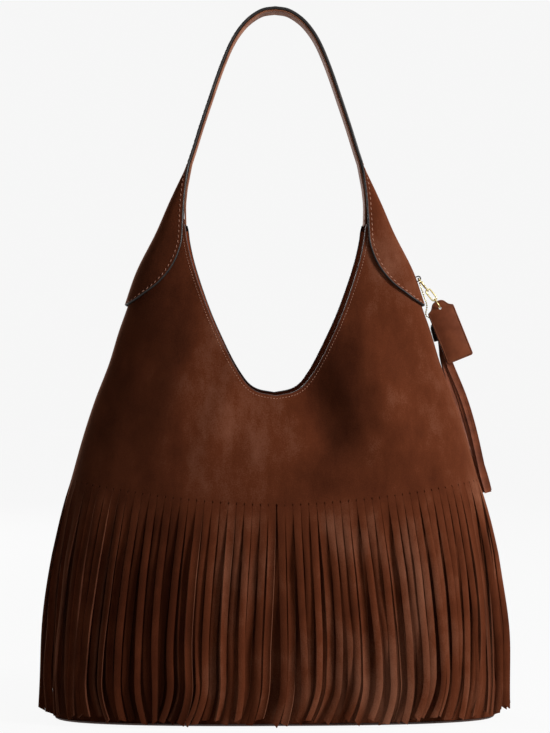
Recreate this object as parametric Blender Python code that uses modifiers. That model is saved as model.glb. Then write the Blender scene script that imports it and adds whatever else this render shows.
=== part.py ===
"""A fringed suede shoulder bag, standing on its base, in metres with +Z up and the front towards -Y.

The body is a soft shell. Its outer face is a stack of rounded sections, and every layer of leather
and fabric is a sheet laid at its own depth under that one face. The suede of each side is slit into
strands below a line of punched holes. A strap with two flared ends is sewn over the arms of the body,
and a hang tag and a tassel hang from a loop at the right end of the strap.
"""

import math
import random

import bmesh
import bpy
import numpy as np
from mathutils import Matrix, Vector

FRONT = -1
BACK = 1

# Clearances
GAP = 0.0004
SPADE_GAP = 0.0009
SEAM_GAP = 0.0004

# Thickness of each sheet
SUEDE = 0.0016
WALL = 0.0014
FACING = 0.0014
LINING = 0.0008
BASE = 0.0025
POCKET = 0.0010
STRAP_LEATHER = 0.0022
STRAP_LINING = 0.0014

# The outer face of the body: height, half width, half depth, squareness of the section
BODY = (
    (0.000, 0.1965, 0.0600, 2.60),
    (0.060, 0.1955, 0.0620, 2.60),
    (0.120, 0.1925, 0.0615, 2.50),
    (0.165, 0.1880, 0.0595, 2.40),
    (0.197, 0.1830, 0.0570, 2.35),
    (0.218, 0.1775, 0.0550, 2.30),
    (0.250, 0.1685, 0.0505, 2.25),
    (0.279, 0.1590, 0.0460, 2.25),
    (0.313, 0.1460, 0.0405, 2.35),
    (0.340, 0.1378, 0.0360, 2.60),
    (0.362, 0.1300, 0.0320, 2.90),
    (0.390, 0.1203, 0.0270, 3.40),
    (0.427, 0.1018, 0.0200, 4.60),
    (0.452, 0.0908, 0.0155, 8.00),
    (0.478, 0.0784, 0.0125, 18.0),
)
ARM_TOP = 0.468
PANEL_ROWS = (0.225, 0.255, 0.285, 0.310, 0.335, 0.362, 0.374, 0.387, 0.405, 0.425, 0.446, ARM_TOP)

# The slouch of the soft faces: place across, place in height, reach across, reach in height, depth
FRONT_SLOUCH = (
    (0.014, 0.282, 0.046, 0.062, 0.0100),
    (-0.085, 0.255, 0.034, 0.070, -0.0030),
    (0.098, 0.262, 0.028, 0.060, -0.0022),
)
BACK_SLOUCH = (
    (-0.006, 0.280, 0.050, 0.060, 0.0085),
    (0.082, 0.250, 0.036, 0.066, -0.0026),
)

# The mouth: the edge of the front panel from its lowest point to where it goes under the strap's end
MOUTH_EDGE = (
    (0.0000, 0.2840),
    (0.0145, 0.2868),
    (0.0235, 0.2920),
    (0.0305, 0.3005),
    (0.0387, 0.3140),
    (0.0488, 0.3344),
    (0.0580, 0.3550),
    (0.0665, 0.3780),
    (0.0740, 0.4020),
    (0.0780, 0.4200),
    (0.0797, 0.4320),
    (0.0835, 0.4420),
    (0.0900, 0.4510),
    (0.1050, 0.4580),
)
MOUTH_STEPS = 2
BACK_MOUTH_INSET = 0.0022
FACING_WIDTH = 0.022
LINING_TUCK = 0.007
FACING_TOP = 0.430
LINING_TOP = 0.385

# The strands: how many stand in each column of the panel, from the side seam to the middle
STRAND_CELLS = (1, 1, 1, 1, 2, 2, 3, 3, 4, 4, 4, 4)
SLIT_WIDTH = 0.0007
SLIT_HEIGHT = 0.1910
SLIT_RISE = 0.0190
SLIT_RISE_POWER = 1.6
SLIT_RISE_REACH = 0.180
STRAND_TIP = 0.0030
STRAND_TIP_SPREAD = 0.0022
STRAND_STEPS = (0.0, 0.18, 0.58, 1.0)
STRAND_FLARE = 0.0070
STRAND_SIDE_FLARE = 0.0030
STRAND_STAGGER = 0.0026
STRAND_SWAY = 0.0040
STRAND_SWAY_WAVE = 22
STRAND_TWIST = math.radians(22)
WALL_TUCK = 0.012
WALL_ROWS = (0.060, 0.120, 0.170)
LINING_ROWS = (*WALL_ROWS, 0.225, 0.255, 0.285, 0.310, 0.335, 0.362)

# The pocket on the lining of the back
POCKET_ROWS = (0.120, 0.170, 0.225)
POCKET_COLUMNS = (8, 16)

# The magnetic closure
SNAP_RADIUS = 0.0065
SNAP_THICKNESS = 0.0030
SNAP_DROP = 0.0077
SNAP_STUD_RADIUS = 0.0030
SNAP_STUD_LENGTH = 0.0014

# The strap: front edge of its flared end, as height and distance from the middle of the bag
SPADE_EDGE = (
    (0.3628, 0.1292),
    (0.3650, 0.1258),
    (0.3690, 0.1200),
    (0.3740, 0.1135),
    (0.3820, 0.1030),
    (0.3950, 0.0920),
    (0.4080, 0.0855),
    (0.4210, 0.0822),
    (0.4350, 0.0815),
    (0.4500, 0.0808),
    (0.4640, 0.0796),
    (0.4780, 0.0772),
)
STRAP_HALF_WIDTH = 0.0125
STRAP_CELLS = 5
# The outer face of the strap above its flared end, to the top of the arch
STRAP_LINE = (
    (0.0768, 0.4900),
    (0.0732, 0.5010),
    (0.0670, 0.5210),
    (0.0600, 0.5420),
    (0.0522, 0.5650),
    (0.0462, 0.5810),
    (0.0400, 0.5950),
    (0.0330, 0.6065),
    (0.0240, 0.6165),
    (0.0120, 0.6240),
    (0.0000, 0.6260),
)
STRAP_STEPS = 12
STRAP_LINING_INSET = 0.0010
STRAP_LINING_CELLS = 2

# The charm on the right side: a leather loop, a snap hook, a link, a ring, a tag and a tassel
CHARM_Y = -0.0080
CHARM_SEGMENTS = 16
HOOK_PIVOT = Vector((0.1262, CHARM_Y, 0.3870))
HOOK_TILT = math.radians(38.5)
LOOP_INNER = 0.0015
LOOP_THICKNESS = 0.0010
LOOP_HALF_WIDTH = 0.0014
LOOP_FOOT = 0.0016
HOOK_WIRE = 0.0007
HOOK_HALF_WIDTH = 0.0034
HOOK_LENGTH = 0.0088
HOOK_NECK = 0.0014
EYE_RADIUS = 0.0020
EYE_WIRE = 0.0006
GATE_RADIUS = 0.0006
GATE_START = 0.0032
GATE_END = 0.0065
GATE_OFFSET = 0.0031
GATE_NUB = 0.0010
LINK_LENGTH = 0.0118
LINK_HALF_WIDTH = 0.0023
LINK_WIRE = 0.0007
RING_RADIUS = 0.0049
RING_WIRE = 0.0006
RING_TILT = math.radians(32)
TAG_TILT = math.radians(22)
TAG_THICKNESS = 0.0026
TAG_HALF_WIDTH = 0.0125
TAG_LENGTH = 0.0490
TAG_CORNER = 0.0025
TAG_HOLE = 0.0012
# The crown of the tag: distance across and height over the hole
TAG_CROWN = (
    (0.0122, -0.0008),
    (0.0106, 0.0002),
    (0.0088, 0.0012),
    (0.0074, 0.0030),
    (0.0058, 0.0054),
    (0.0034, 0.0069),
    (0.0000, 0.0074),
)

# The tassel
BEAD_RADIUS = 0.0008
BEAD_PITCH = 0.0020
BEAD_NECK = 0.0003
CHAIN_RING_RADIUS = 0.0015
CHAIN_RING_WIRE = 0.0004
CHAIN_HANG = 0.0042
CHAIN_TURN = math.radians(20)
CAP_RADIUS = 0.0062
CAP_WALL = 0.0010
CAP_LENGTH = 0.0170
CAP_CENTRE_Y = 0.0050
TASSEL_TOP = 0.3500
TASSEL_TIP = 0.1960
TASSEL_TILT = math.radians(16)
TASSEL_STRIPS = 6
STRIP_WIDTH = 0.0062
STRIP_THICKNESS = 0.0012
STRIP_PITCH_TOP = 0.0012
STRIP_PITCH_TIP = 0.0023
STRIP_STEPS = 6
STRIP_STAND = 0.0056

PALETTE = {
    "suede": ((82, 43, 28), 0.95, 0.0),
    "leather": ((70, 36, 22), 0.62, 0.0),
    "tan_leather": ((150, 98, 74), 0.70, 0.0),
    "lining_fabric": ((60, 40, 30), 0.90, 0.0),
    "brass": ((205, 180, 115), 0.28, 1.0),
}


def colour(rgb):
    """A screen colour from 0 to 255 as the linear colour that a shader takes."""
    return tuple((c / 255 / 12.92) if c < 11 else ((c / 255 + 0.055) / 1.055) ** 2.4 for c in rgb)


def make_material(name):
    rgb, roughness, metallic = PALETTE[name]
    material = bpy.data.materials.new(name)
    material.use_nodes = True
    shader = material.node_tree.nodes["Principled BSDF"]
    shader.inputs["Base Color"].default_value = (*colour(rgb), 1.0)
    shader.inputs["Roughness"].default_value = roughness
    shader.inputs["Metallic"].default_value = metallic
    return material


def smooth_value(knots, x, column=1):
    """The value at x of one column of knots, on a smooth curve that never overshoots a knot."""
    xs = [k[0] for k in knots]
    ys = [k[column] for k in knots]
    x = min(max(x, xs[0]), xs[-1])
    i = min(max(int(np.searchsorted(xs, x)) - 1, 0), len(xs) - 2)
    slopes = [(ys[n + 1] - ys[n]) / (xs[n + 1] - xs[n]) for n in range(len(xs) - 1)]

    def slope_at(n):
        if n in (0, len(xs) - 1):
            return slopes[min(n, len(slopes) - 1)]
        before, after = slopes[n - 1], slopes[n]
        return 2 * before * after / (before + after) if before * after > 0 else 0.0

    step = xs[i + 1] - xs[i]
    t = (x - xs[i]) / step
    return (
        ys[i] * (1 + 2 * t) * (1 - t) ** 2
        + slope_at(i) * step * t * (1 - t) ** 2
        + ys[i + 1] * t * t * (3 - 2 * t)
        + slope_at(i + 1) * step * t * t * (t - 1)
    )


def smooth_path(points, steps):
    """A smooth line through points, with some steps from each to the next."""
    p = [Vector(q) for q in points]
    p = [2 * p[0] - p[1], *p, 2 * p[-1] - p[-2]]
    line = []
    for i in range(1, len(p) - 2):
        for n in range(steps):
            t = n / steps
            line.append(
                0.5
                * (
                    2 * p[i]
                    + (p[i + 1] - p[i - 1]) * t
                    + (2 * p[i - 1] - 5 * p[i] + 4 * p[i + 1] - p[i + 2]) * t**2
                    + (3 * p[i] - p[i - 1] - 3 * p[i + 1] + p[i + 2]) * t**3
                )
            )
    return [*line, p[-2]]


def evenly(points, count):
    """The points of a line again, as count + 1 points evenly spaced along it."""
    p = [Vector(q) for q in points]
    run = np.concatenate([[0.0], np.cumsum([(b - a).length for a, b in zip(p, p[1:])])])
    spots = np.linspace(0.0, run[-1], count + 1)
    columns = [np.interp(spots, run, [q[k] for q in p]) for k in range(len(p[0]))]
    return [Vector(q) for q in zip(*columns)]


def face_point(angle, height, side):
    """A point of the body's outer face: angle 0 is the right side seam and pi the left one."""
    half_width = smooth_value(BODY, height, 1)
    half_depth = smooth_value(BODY, height, 2)
    power = 2 / smooth_value(BODY, height, 3)
    c, s = math.cos(angle), math.sin(angle)
    x = half_width * math.copysign(abs(c) ** power, c)
    y = side * half_depth * math.copysign(abs(s) ** power, s)
    for across, up, reach, rise, depth in FRONT_SLOUCH if y < 0 else BACK_SLOUCH:
        bump = math.exp(-(((x - across) / reach) ** 2) - ((height - up) / rise) ** 2)
        y -= math.copysign(depth, y) * bump * min(abs(s) * 2, 1)
    return Vector((x, y, height))


def skin(angle, height, out, side):
    """The point at a distance outside the body's face, measured square to it."""
    e_angle, e_height = 0.01, 0.002
    low, high = max(height - e_height, 0.0), min(height + e_height, BODY[-1][0])
    along = face_point(angle + e_angle, height, side) - face_point(angle - e_angle, height, side)
    up = face_point(angle, high, side) - face_point(angle, low, side)
    normal = up.cross(along).normalized() * -side
    return face_point(angle, height, side) + normal * out


def slit_height(x):
    """The height of the line of punched holes where the slits begin."""
    return SLIT_HEIGHT + SLIT_RISE * (abs(x) / SLIT_RISE_REACH) ** SLIT_RISE_POWER


def wall_top(x):
    """The height of the lower wall's top edge, tucked behind the panel above the slits."""
    return slit_height(x) + WALL_TUCK


def seam_angles(count):
    """count + 1 angles from the right side seam to the left one, evenly spaced along the slit line."""
    angles = np.linspace(0.0, math.pi, 400)
    points = []
    for angle in angles:
        p = face_point(angle, SLIT_HEIGHT, FRONT)
        points.append(p)
    run = np.concatenate([[0.0], np.cumsum([(b - a).length for a, b in zip(points, points[1:])])])
    return [float(a) for a in np.interp(np.linspace(0.0, run[-1], count + 1), run, angles)]


CELLS = [*STRAND_CELLS, *reversed(STRAND_CELLS)]
STRAND_COUNT = sum(CELLS)
STRAND_EDGES = seam_angles(STRAND_COUNT)
COLUMNS = [STRAND_EDGES[sum(CELLS[:n])] for n in range(len(CELLS) + 1)]


def at_seam(point, side, end):
    """Keeps the end of a half at the side seam just clear of the other half."""
    if end:
        point.y = side * SEAM_GAP / 2
    return point


def layer_row(height, depth, side, columns=None):
    """One row of a sheet that lies at a depth under the body's face, from seam to seam."""
    angles = COLUMNS if columns is None else columns
    row = []
    for angle in angles:
        z = height(face_point(angle, SLIT_HEIGHT, side).x) if callable(height) else height
        row.append(at_seam(skin(angle, z, -depth, side), side, angle in (COLUMNS[0], COLUMNS[-1])))
    return row


def add_object(name, mesh, material, collection):
    obj = bpy.data.objects.new(name, mesh)
    collection.objects.link(obj)
    if material:
        mesh.materials.append(MATERIALS[material])
        mesh.shade_smooth()
        mesh.set_sharp_from_angle(angle=math.radians(40))
    return obj


def from_bmesh(name, bm, material):
    mesh = bpy.data.meshes.new(name)
    bm.to_mesh(mesh)
    bm.free()
    return add_object(name, mesh, material, PARTS)


def loft(bm, rows, flip, closed=False):
    """Joins rows of points with quads and gives back the rows of vertices."""
    grid = [[bm.verts.new(p) for p in row] for row in rows]
    for low, high in zip(grid, grid[1:]):
        spans = range(len(low)) if closed else range(len(low) - 1)
        for j in spans:
            k = (j + 1) % len(low)
            face = [low[j], low[k], high[k], high[j]]
            bm.faces.new(reversed(face) if flip else face)
    return grid


def solidify(obj, thickness, outwards=False):
    shell = obj.modifiers.new("thickness", "SOLIDIFY")
    shell.thickness = thickness
    shell.offset = 1.0 if outwards else -1.0
    return shell


def boolean(obj, operand, operation):
    cut = obj.modifiers.new(operation.lower(), "BOOLEAN")
    cut.operation = operation
    cut.object = operand
    cut.solver = "EXACT"
    return cut


def hide_guide(obj):
    obj.hide_render = True
    obj.display_type = "WIRE"
    for collection in list(obj.users_collection):
        collection.objects.unlink(obj)
    CUTTERS.objects.link(obj)
    return obj


def extruded_outline(name, outlines, low_y, high_y, material=None):
    """A flat outline in X and Z, with any holes, given a thickness along Y."""
    curve = bpy.data.curves.new(name, "CURVE")
    curve.dimensions = "2D"
    curve.fill_mode = "BOTH"
    curve.extrude = (high_y - low_y) / 2
    for points in outlines:
        spline = curve.splines.new("POLY")
        spline.points.add(len(points) - 1)
        for spot, (x, z) in zip(spline.points, points):
            spot.co = (x, z, 0.0, 1.0)
        spline.use_cyclic_u = True
    guide = bpy.data.objects.new(name + "_outline", curve)
    PARTS.objects.link(guide)
    guide.rotation_euler = (math.radians(90), 0.0, 0.0)
    guide.location = (0.0, (low_y + high_y) / 2, 0.0)
    return curve_to_mesh(name, guide, material)


def curve_to_mesh(name, guide, material):
    """Turns a curve object into a welded mesh object in world space and removes the curve."""
    bpy.context.view_layer.update()
    graph = bpy.context.evaluated_depsgraph_get()
    mesh = bpy.data.meshes.new_from_object(guide.evaluated_get(graph))
    mesh.transform(guide.matrix_world)
    mesh.name = name
    bm = bmesh.new()
    bm.from_mesh(mesh)
    bmesh.ops.remove_doubles(bm, verts=bm.verts, dist=0.00001)
    bmesh.ops.recalc_face_normals(bm, faces=bm.faces)
    bm.to_mesh(mesh)
    bm.free()
    curve = guide.data
    bpy.data.objects.remove(guide)
    bpy.data.curves.remove(curve)
    mesh.materials.clear()
    return add_object(name, mesh, material, PARTS)


def wire(name, points, radius, material, closed=False):
    """A round wire along points, with filled ends where it isn't closed."""
    curve = bpy.data.curves.new(name, "CURVE")
    curve.dimensions = "3D"
    curve.bevel_depth = radius
    curve.bevel_resolution = 1
    curve.use_fill_caps = not closed
    spline = curve.splines.new("POLY")
    spline.points.add(len(points) - 1)
    for spot, p in zip(spline.points, points):
        spot.co = (*p, 1.0)
    spline.use_cyclic_u = closed
    guide = bpy.data.objects.new(name + "_line", curve)
    PARTS.objects.link(guide)
    return curve_to_mesh(name, guide, material)


def set_pivot(obj, pivot):
    """Moves an object's origin to its joint, with its mesh left where it is."""
    obj.data.transform(Matrix.Translation(-Vector(pivot)))
    obj.location = pivot


def mouth_outline(grow, inset=0.0):
    """The whole outline that the mouth is cut to, grown outwards or drawn in."""
    half = [Vector(p) for p in smooth_path([(*p, 0.0) for p in MOUTH_EDGE], MOUTH_STEPS)]
    left = [Vector((-p.x, p.y, 0.0)) for p in reversed(half[1:])]
    line = left + half
    moved = []
    for n, p in enumerate(line):
        before, after = line[max(n - 1, 0)], line[min(n + 1, len(line) - 1)]
        along = (after - before).normalized()
        moved.append((p.x + along.y * (grow - inset), p.y - along.x * (grow - inset)))
    top = max(z for _, z in moved) + 0.2
    return [(moved[0][0], top), *moved, (moved[-1][0], top)]


def mouth_cutter(name, side, grow=0.0):
    """The prism that cuts the mouth out of the sheets of one side, or of both for side None."""
    inset = BACK_MOUTH_INSET if side == BACK else 0.0
    low, high = {FRONT: (-0.2, 0.0), BACK: (0.0, 0.2), None: (-0.2, 0.2)}[side]
    return hide_guide(extruded_outline(name, [mouth_outline(grow, inset)], low, high))


def strand_points(number, side, rng):
    """The two edges of one strand at each step from the slit line down to its tip."""
    middle = (STRAND_EDGES[number] + STRAND_EDGES[number + 1]) / 2
    width = STRAND_PITCH - SLIT_WIDTH
    tip = STRAND_TIP + rng.uniform(0.0, STRAND_TIP_SPREAD)
    twist = rng.uniform(-1.0, 1.0) * STRAND_TWIST
    phase = 0.0 if side == FRONT else 1.7
    sway = STRAND_SWAY * math.sin(math.tau * number / STRAND_SWAY_WAVE + phase)
    flare = STRAND_FLARE + STRAND_SIDE_FLARE * math.cos(middle) ** 2
    stagger = STRAND_STAGGER * (number % 2)
    top = slit_height(face_point(middle, SLIT_HEIGHT, side).x)
    rows = []
    for v in STRAND_STEPS[1:]:
        z = top + (tip - top) * v
        out = flare * math.sin(v * math.pi / 2) ** 1.25 + stagger * min(v / 0.3, 1.0)
        centre = skin(middle, z, out, side)
        along = skin(middle + 0.01, z, out, side) - skin(middle - 0.01, z, out, side)
        along.normalize()
        normal = skin(middle, z, out + 0.001, side) - centre
        normal.normalize()
        edge = (along * math.cos(twist * v) + normal * math.sin(twist * v)) * (width / 2)
        centre = centre + along * (sway * v * v)
        rows.append((centre - edge, centre + edge))
    return rows


STRAND_PITCH = (
    face_point(STRAND_EDGES[STRAND_COUNT // 2], SLIT_HEIGHT, FRONT)
    - face_point(STRAND_EDGES[STRAND_COUNT // 2 + 1], SLIT_HEIGHT, FRONT)
).length


def make_panel(name, side):
    """The suede of one side: a smooth upper part that runs on into the strands of the fringe."""
    rng = random.Random(11 if side == FRONT else 23)
    flip = side == FRONT
    bm = bmesh.new()
    heights = [wall_top, *PANEL_ROWS]
    upper = loft(bm, [layer_row(z, 0.0, side) for z in heights], flip)
    seam = [bm.verts.new(p) for p in layer_row(slit_height, 0.0, side)]
    strand = 0
    for cell, count in enumerate(CELLS):
        first, last = seam[cell], seam[cell + 1]
        chord = last.co - first.co
        slit = chord.normalized() * (SLIT_WIDTH / 2)
        tops = []
        for n in range(count):
            start = first.co + chord * (n / count) + slit
            end = first.co + chord * ((n + 1) / count) - slit
            start_vert = first if cell == 0 and n == 0 else bm.verts.new(start)
            end_vert = last if cell == len(CELLS) - 1 and n == count - 1 else bm.verts.new(end)
            tops.append((start_vert, end_vert))
        bottom = [v for pair in tops for v in pair]
        ring = [v for v in (first, *bottom, last)]
        ring = [v for i, v in enumerate(ring) if v not in ring[:i]]
        face = [*ring, upper[0][cell + 1], upper[0][cell]]
        bm.faces.new(reversed(face) if flip else face)
        for start_vert, end_vert in tops:
            above = (start_vert, end_vert)
            for points in strand_points(strand, side, rng):
                below = [bm.verts.new(p) for p in points]
                face = [below[0], below[1], above[1], above[0]]
                bm.faces.new(reversed(face) if flip else face)
                above = below
            strand += 1
    panel = from_bmesh(name, bm, "suede")
    solidify(panel, SUEDE)
    boolean(panel, mouth_cutter(name + "_mouth", side), "DIFFERENCE")
    return panel


def make_wall(name, side):
    """The lower wall of one side, which the fringe hangs in front of."""
    depth = SUEDE + GAP
    heights = [BASE + GAP, *WALL_ROWS, wall_top]
    bm = bmesh.new()
    loft(bm, [layer_row(z, depth, side) for z in heights], side == FRONT)
    wall = from_bmesh(name, bm, "suede")
    solidify(wall, WALL)
    return wall


def make_facing(name, side):
    """The band of leather inside the mouth, whose edge is painted together with the panel's."""
    depth = SUEDE + GAP
    heights = [*(z for z in PANEL_ROWS if z < FACING_TOP), FACING_TOP]
    bm = bmesh.new()
    loft(bm, [layer_row(z, depth, side, COLUMNS[3:-3]) for z in heights], side == FRONT)
    band = from_bmesh(name, bm, "leather")
    solidify(band, FACING)
    boolean(band, mouth_cutter(name + "_mouth", side), "DIFFERENCE")
    boolean(band, mouth_cutter(name + "_width", side, FACING_WIDTH), "INTERSECT")
    return band


def make_base():
    """The oval bottom that the bag stands on."""
    bm = bmesh.new()
    depth = SUEDE + GAP
    outline = [skin(a, 0.0, -depth, FRONT) for a in COLUMNS]
    outline += [skin(a, 0.0, -depth, BACK) for a in reversed(COLUMNS[1:-1])]
    face = bm.faces.new([bm.verts.new((p.x, p.y, 0.0)) for p in outline])
    raised = bmesh.ops.extrude_face_region(bm, geom=[face])["geom"]
    top = [v for v in raised if isinstance(v, bmesh.types.BMVert)]
    bmesh.ops.translate(bm, verts=top, vec=(0.0, 0.0, BASE))
    bmesh.ops.recalc_face_normals(bm, faces=bm.faces)
    return from_bmesh("base_panel", bm, "leather")


def make_lining():
    """The fabric bag inside, sewn to the facings above and loose everywhere else."""
    depth = LINING_DEPTH
    bm = bmesh.new()
    rows = []
    for z in (BASE + GAP, *LINING_ROWS, LINING_TOP):
        front = [skin(a, z, -depth, FRONT) for a in COLUMNS]
        back = [skin(a, z, -depth, BACK) for a in reversed(COLUMNS[1:-1])]
        rows.append(front + back)
    grid = loft(bm, rows, True, closed=True)
    bm.faces.new(grid[0])
    lining = from_bmesh("lining", bm, "lining_fabric")
    solidify(lining, LINING)
    grown = FACING_WIDTH - LINING_TUCK
    boolean(lining, mouth_cutter("lining_mouth", None, grown), "DIFFERENCE")
    return lining


def make_pocket():
    """A slip pocket sewn to the lining of the back."""
    first, last = POCKET_COLUMNS
    depth = LINING_DEPTH + LINING + 2 * GAP
    bm = bmesh.new()
    loft(bm, [layer_row(z, depth, BACK, COLUMNS[first : last + 1]) for z in POCKET_ROWS], False)
    pocket = from_bmesh("pocket", bm, "lining_fabric")
    solidify(pocket, POCKET)
    return pocket


def make_snap(name, side):
    """One half of the magnetic closure, a disc on the facing with a small raised middle."""
    depth = SUEDE + GAP + FACING + GAP
    height = MOUTH_EDGE[0][1] - SNAP_DROP
    spot = skin(math.pi / 2, height, -depth, side)
    inwards = (skin(math.pi / 2, height, -depth - 0.001, side) - spot).normalized()
    profile = [
        (0.0, SNAP_THICKNESS + SNAP_STUD_LENGTH),
        (SNAP_STUD_RADIUS, SNAP_THICKNESS + SNAP_STUD_LENGTH),
        (SNAP_STUD_RADIUS, SNAP_THICKNESS),
        (SNAP_RADIUS, SNAP_THICKNESS),
        (SNAP_RADIUS, SNAP_SEAT),
        (0.0, SNAP_SEAT),
    ]
    return turned(name, profile, spot, inwards, "brass")


def turned(name, profile, spot, axis, material, steps=CHARM_SEGMENTS):
    """A turned solid: its profile holds radius and distance along the axis, top first."""
    bm = bmesh.new()
    rings = []
    for radius, lift in profile:
        count = steps if radius > 0 else 1
        turns = [math.tau * n / steps for n in range(count)]
        rings.append(
            [bm.verts.new((radius * math.cos(t), radius * math.sin(t), lift)) for t in turns]
        )
    for upper, lower in zip(rings, rings[1:]):
        for n in range(steps):
            m = (n + 1) % steps
            corners = [upper[n % len(upper)], lower[n % len(lower)]]
            corners += [lower[m % len(lower)], upper[m % len(upper)]]
            corners = [v for i, v in enumerate(corners) if v not in corners[:i]]
            if len(corners) > 2:
                bm.faces.new(corners)
    bmesh.ops.recalc_face_normals(bm, faces=bm.faces)
    turn = Vector((0.0, 0.0, 1.0)).rotation_difference(axis).to_matrix().to_4x4()
    bmesh.ops.transform(bm, matrix=Matrix.Translation(spot) @ turn, verts=bm.verts)
    return from_bmesh(name, bm, material)


def edge_angle(height):
    """The angle on the body's face where the front edge of the strap's flared end lies."""
    half_width = smooth_value(BODY, height, 1)
    share = min(smooth_value(SPADE_EDGE, height) / half_width, 0.9995)
    return math.acos(share ** (smooth_value(BODY, height, 3) / 2))


def strap_rows(depth, half_width, cells):
    """Rows of the strap's right half from the tip of its flared end to the top of the arch."""
    rows = []
    for height, _ in SPADE_EDGE:
        edge = edge_angle(height)
        front = [edge * n / cells for n in range(cells, 0, -1)]
        row = [skin(a, height, -depth, FRONT) for a in front]
        row.append(skin(0.0, height, -depth, FRONT))
        row += [skin(a, height, -depth, BACK) for a in reversed(front)]
        rows.append(row)
    return rows + arch_rows(depth + STRAP_FACE, half_width, cells)


def arch_rows(depth, half_width, cells):
    """Rows of the strap above the arms, at a depth under its outer face."""
    line = evenly(smooth_path([(*p, 0.0) for p in STRAP_LINE], 4), STRAP_STEPS)
    rows = []
    for n, p in enumerate(line):
        before, after = line[max(n - 1, 0)], line[min(n + 1, len(line) - 1)]
        along = (after - before).normalized()
        if n == len(line) - 1:
            along = Vector((-1.0, 0.0, 0.0))
        inwards = Vector((-along.y, along.x, 0.0))
        q = p + inwards * depth
        spread = [half_width * k / cells for k in range(-cells, cells + 1)]
        rows.append([Vector((q.x, y, q.y)) for y in spread])
    return rows


def mirrored(rows):
    """Rows of the right half and then those of the left half, tip to tip."""
    return rows + [[Vector((-p.x, p.y, p.z)) for p in row] for row in reversed(rows[:-1])]


def make_strap():
    """The strap: one band of leather whose two ends flare and wrap over the arms of the body."""
    bm = bmesh.new()
    rows = strap_rows(-SPADE_GAP, STRAP_HALF_WIDTH, STRAP_CELLS)
    loft(bm, mirrored(rows), False)
    strap = from_bmesh("strap", bm, "suede")
    solidify(strap, STRAP_LEATHER, outwards=True)
    return strap


def make_strap_lining():
    """The pale band of leather along the inside of the strap."""
    bm = bmesh.new()
    rows = arch_rows(STRAP_LEATHER + GAP, STRAP_HALF_WIDTH - STRAP_LINING_INSET, STRAP_LINING_CELLS)
    loft(bm, mirrored(rows), False)
    band = from_bmesh("strap_lining", bm, "tan_leather")
    solidify(band, STRAP_LINING)
    return band


def tilted(tilt):
    """The direction that hangs down and outwards at a tilt from the vertical."""
    return Vector((math.sin(tilt), 0.0, -math.cos(tilt)))


def oval(centre_start, along, across, length, half_width):
    """Points of a long round-ended loop that begins at a point and runs on along a direction."""
    points = []
    for n in range(CHARM_SEGMENTS):
        turn = math.tau * (n + 0.5) / CHARM_SEGMENTS
        shift = half_width if math.cos(turn) < 0 else length - half_width
        points.append(
            centre_start
            + along * (shift + half_width * math.cos(turn))
            + across * (half_width * math.sin(turn))
        )
    return points


def ring(name, centre, first, second, radius, thickness, material):
    """A round ring of wire in the plane of two directions."""
    points = []
    for n in range(CHARM_SEGMENTS):
        turn = math.tau * n / CHARM_SEGMENTS
        points.append(centre + (first * math.cos(turn) + second * math.sin(turn)) * radius)
    return wire(name, points, thickness, material, closed=True)


def strap_surface(height, y):
    """The strap's outer face at a height, beside the seam, and the direction square to it."""
    edge = edge_angle(height)
    side = FRONT if y < 0 else BACK
    angle = min(np.linspace(0.0, edge, 60), key=lambda a: abs(abs(face_point(a, height, side).y) - abs(y)))
    spot = skin(angle, height, SPADE_GAP + STRAP_LEATHER, side)
    normal = (skin(angle, height, SPADE_GAP + STRAP_LEATHER + 0.001, side) - spot).normalized()
    return spot, normal


def make_side_loop():
    """A short strip of leather bent to a loop, with its two ends against the strap's side."""
    _, square = strap_surface(HOOK_PIVOT.z, CHARM_Y)
    out = Vector((square.x, 0.0, square.z)).normalized()
    along = Vector((-out.z, 0.0, out.x))
    turns = [math.radians(-90 + 180 * n / 8) for n in range(9)]
    foot = LOOP_FOOT

    def arc(radius, order):
        bend = [HOOK_PIVOT + (out * math.cos(t) + along * math.sin(t)) * radius for t in order]
        legs = [bend[0] - out * foot, *bend, bend[-1] - out * foot]
        return [(p.x, p.z) for p in legs]

    outline = arc(LOOP_INNER + LOOP_THICKNESS, turns) + arc(LOOP_INNER, list(reversed(turns)))
    low, high = CHARM_Y - LOOP_HALF_WIDTH, CHARM_Y + LOOP_HALF_WIDTH
    return extruded_outline("side_loop", [outline], low, high, "leather")


def make_hook():
    """The snap hook: a round-ended bow that passes through the loop, a neck and an eye."""
    down = tilted(HOOK_TILT)
    across = Vector((0.0, 1.0, 0.0))
    points = oval(HOOK_PIVOT, down, across, HOOK_LENGTH, HOOK_HALF_WIDTH)
    opening = [
        n
        for n, p in enumerate(points)
        if (p - HOOK_PIVOT).dot(across) < 0
        and GATE_START - GATE_CLEAR < (p - HOOK_PIVOT).dot(down) < GATE_END + GATE_CLEAR
    ]
    start = (opening[-1] + 1) % len(points)
    kept = [points[(start + n) % len(points)] for n in range(len(points) - len(opening))]
    bow = wire("clasp_hook", kept, HOOK_WIRE, "brass")
    eye_centre = HOOK_PIVOT + down * (HOOK_LENGTH + HOOK_NECK + EYE_RADIUS)
    eye = hide_guide(ring("clasp_eye", eye_centre, down, across, EYE_RADIUS, EYE_WIRE, None))
    neck_points = [HOOK_PIVOT + down * HOOK_LENGTH, eye_centre - down * EYE_RADIUS]
    neck = hide_guide(wire("clasp_neck", neck_points, HOOK_WIRE * 1.3, None))
    boolean(bow, neck, "UNION")
    boolean(bow, eye, "UNION")
    set_pivot(bow, HOOK_PIVOT)
    return bow


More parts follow.
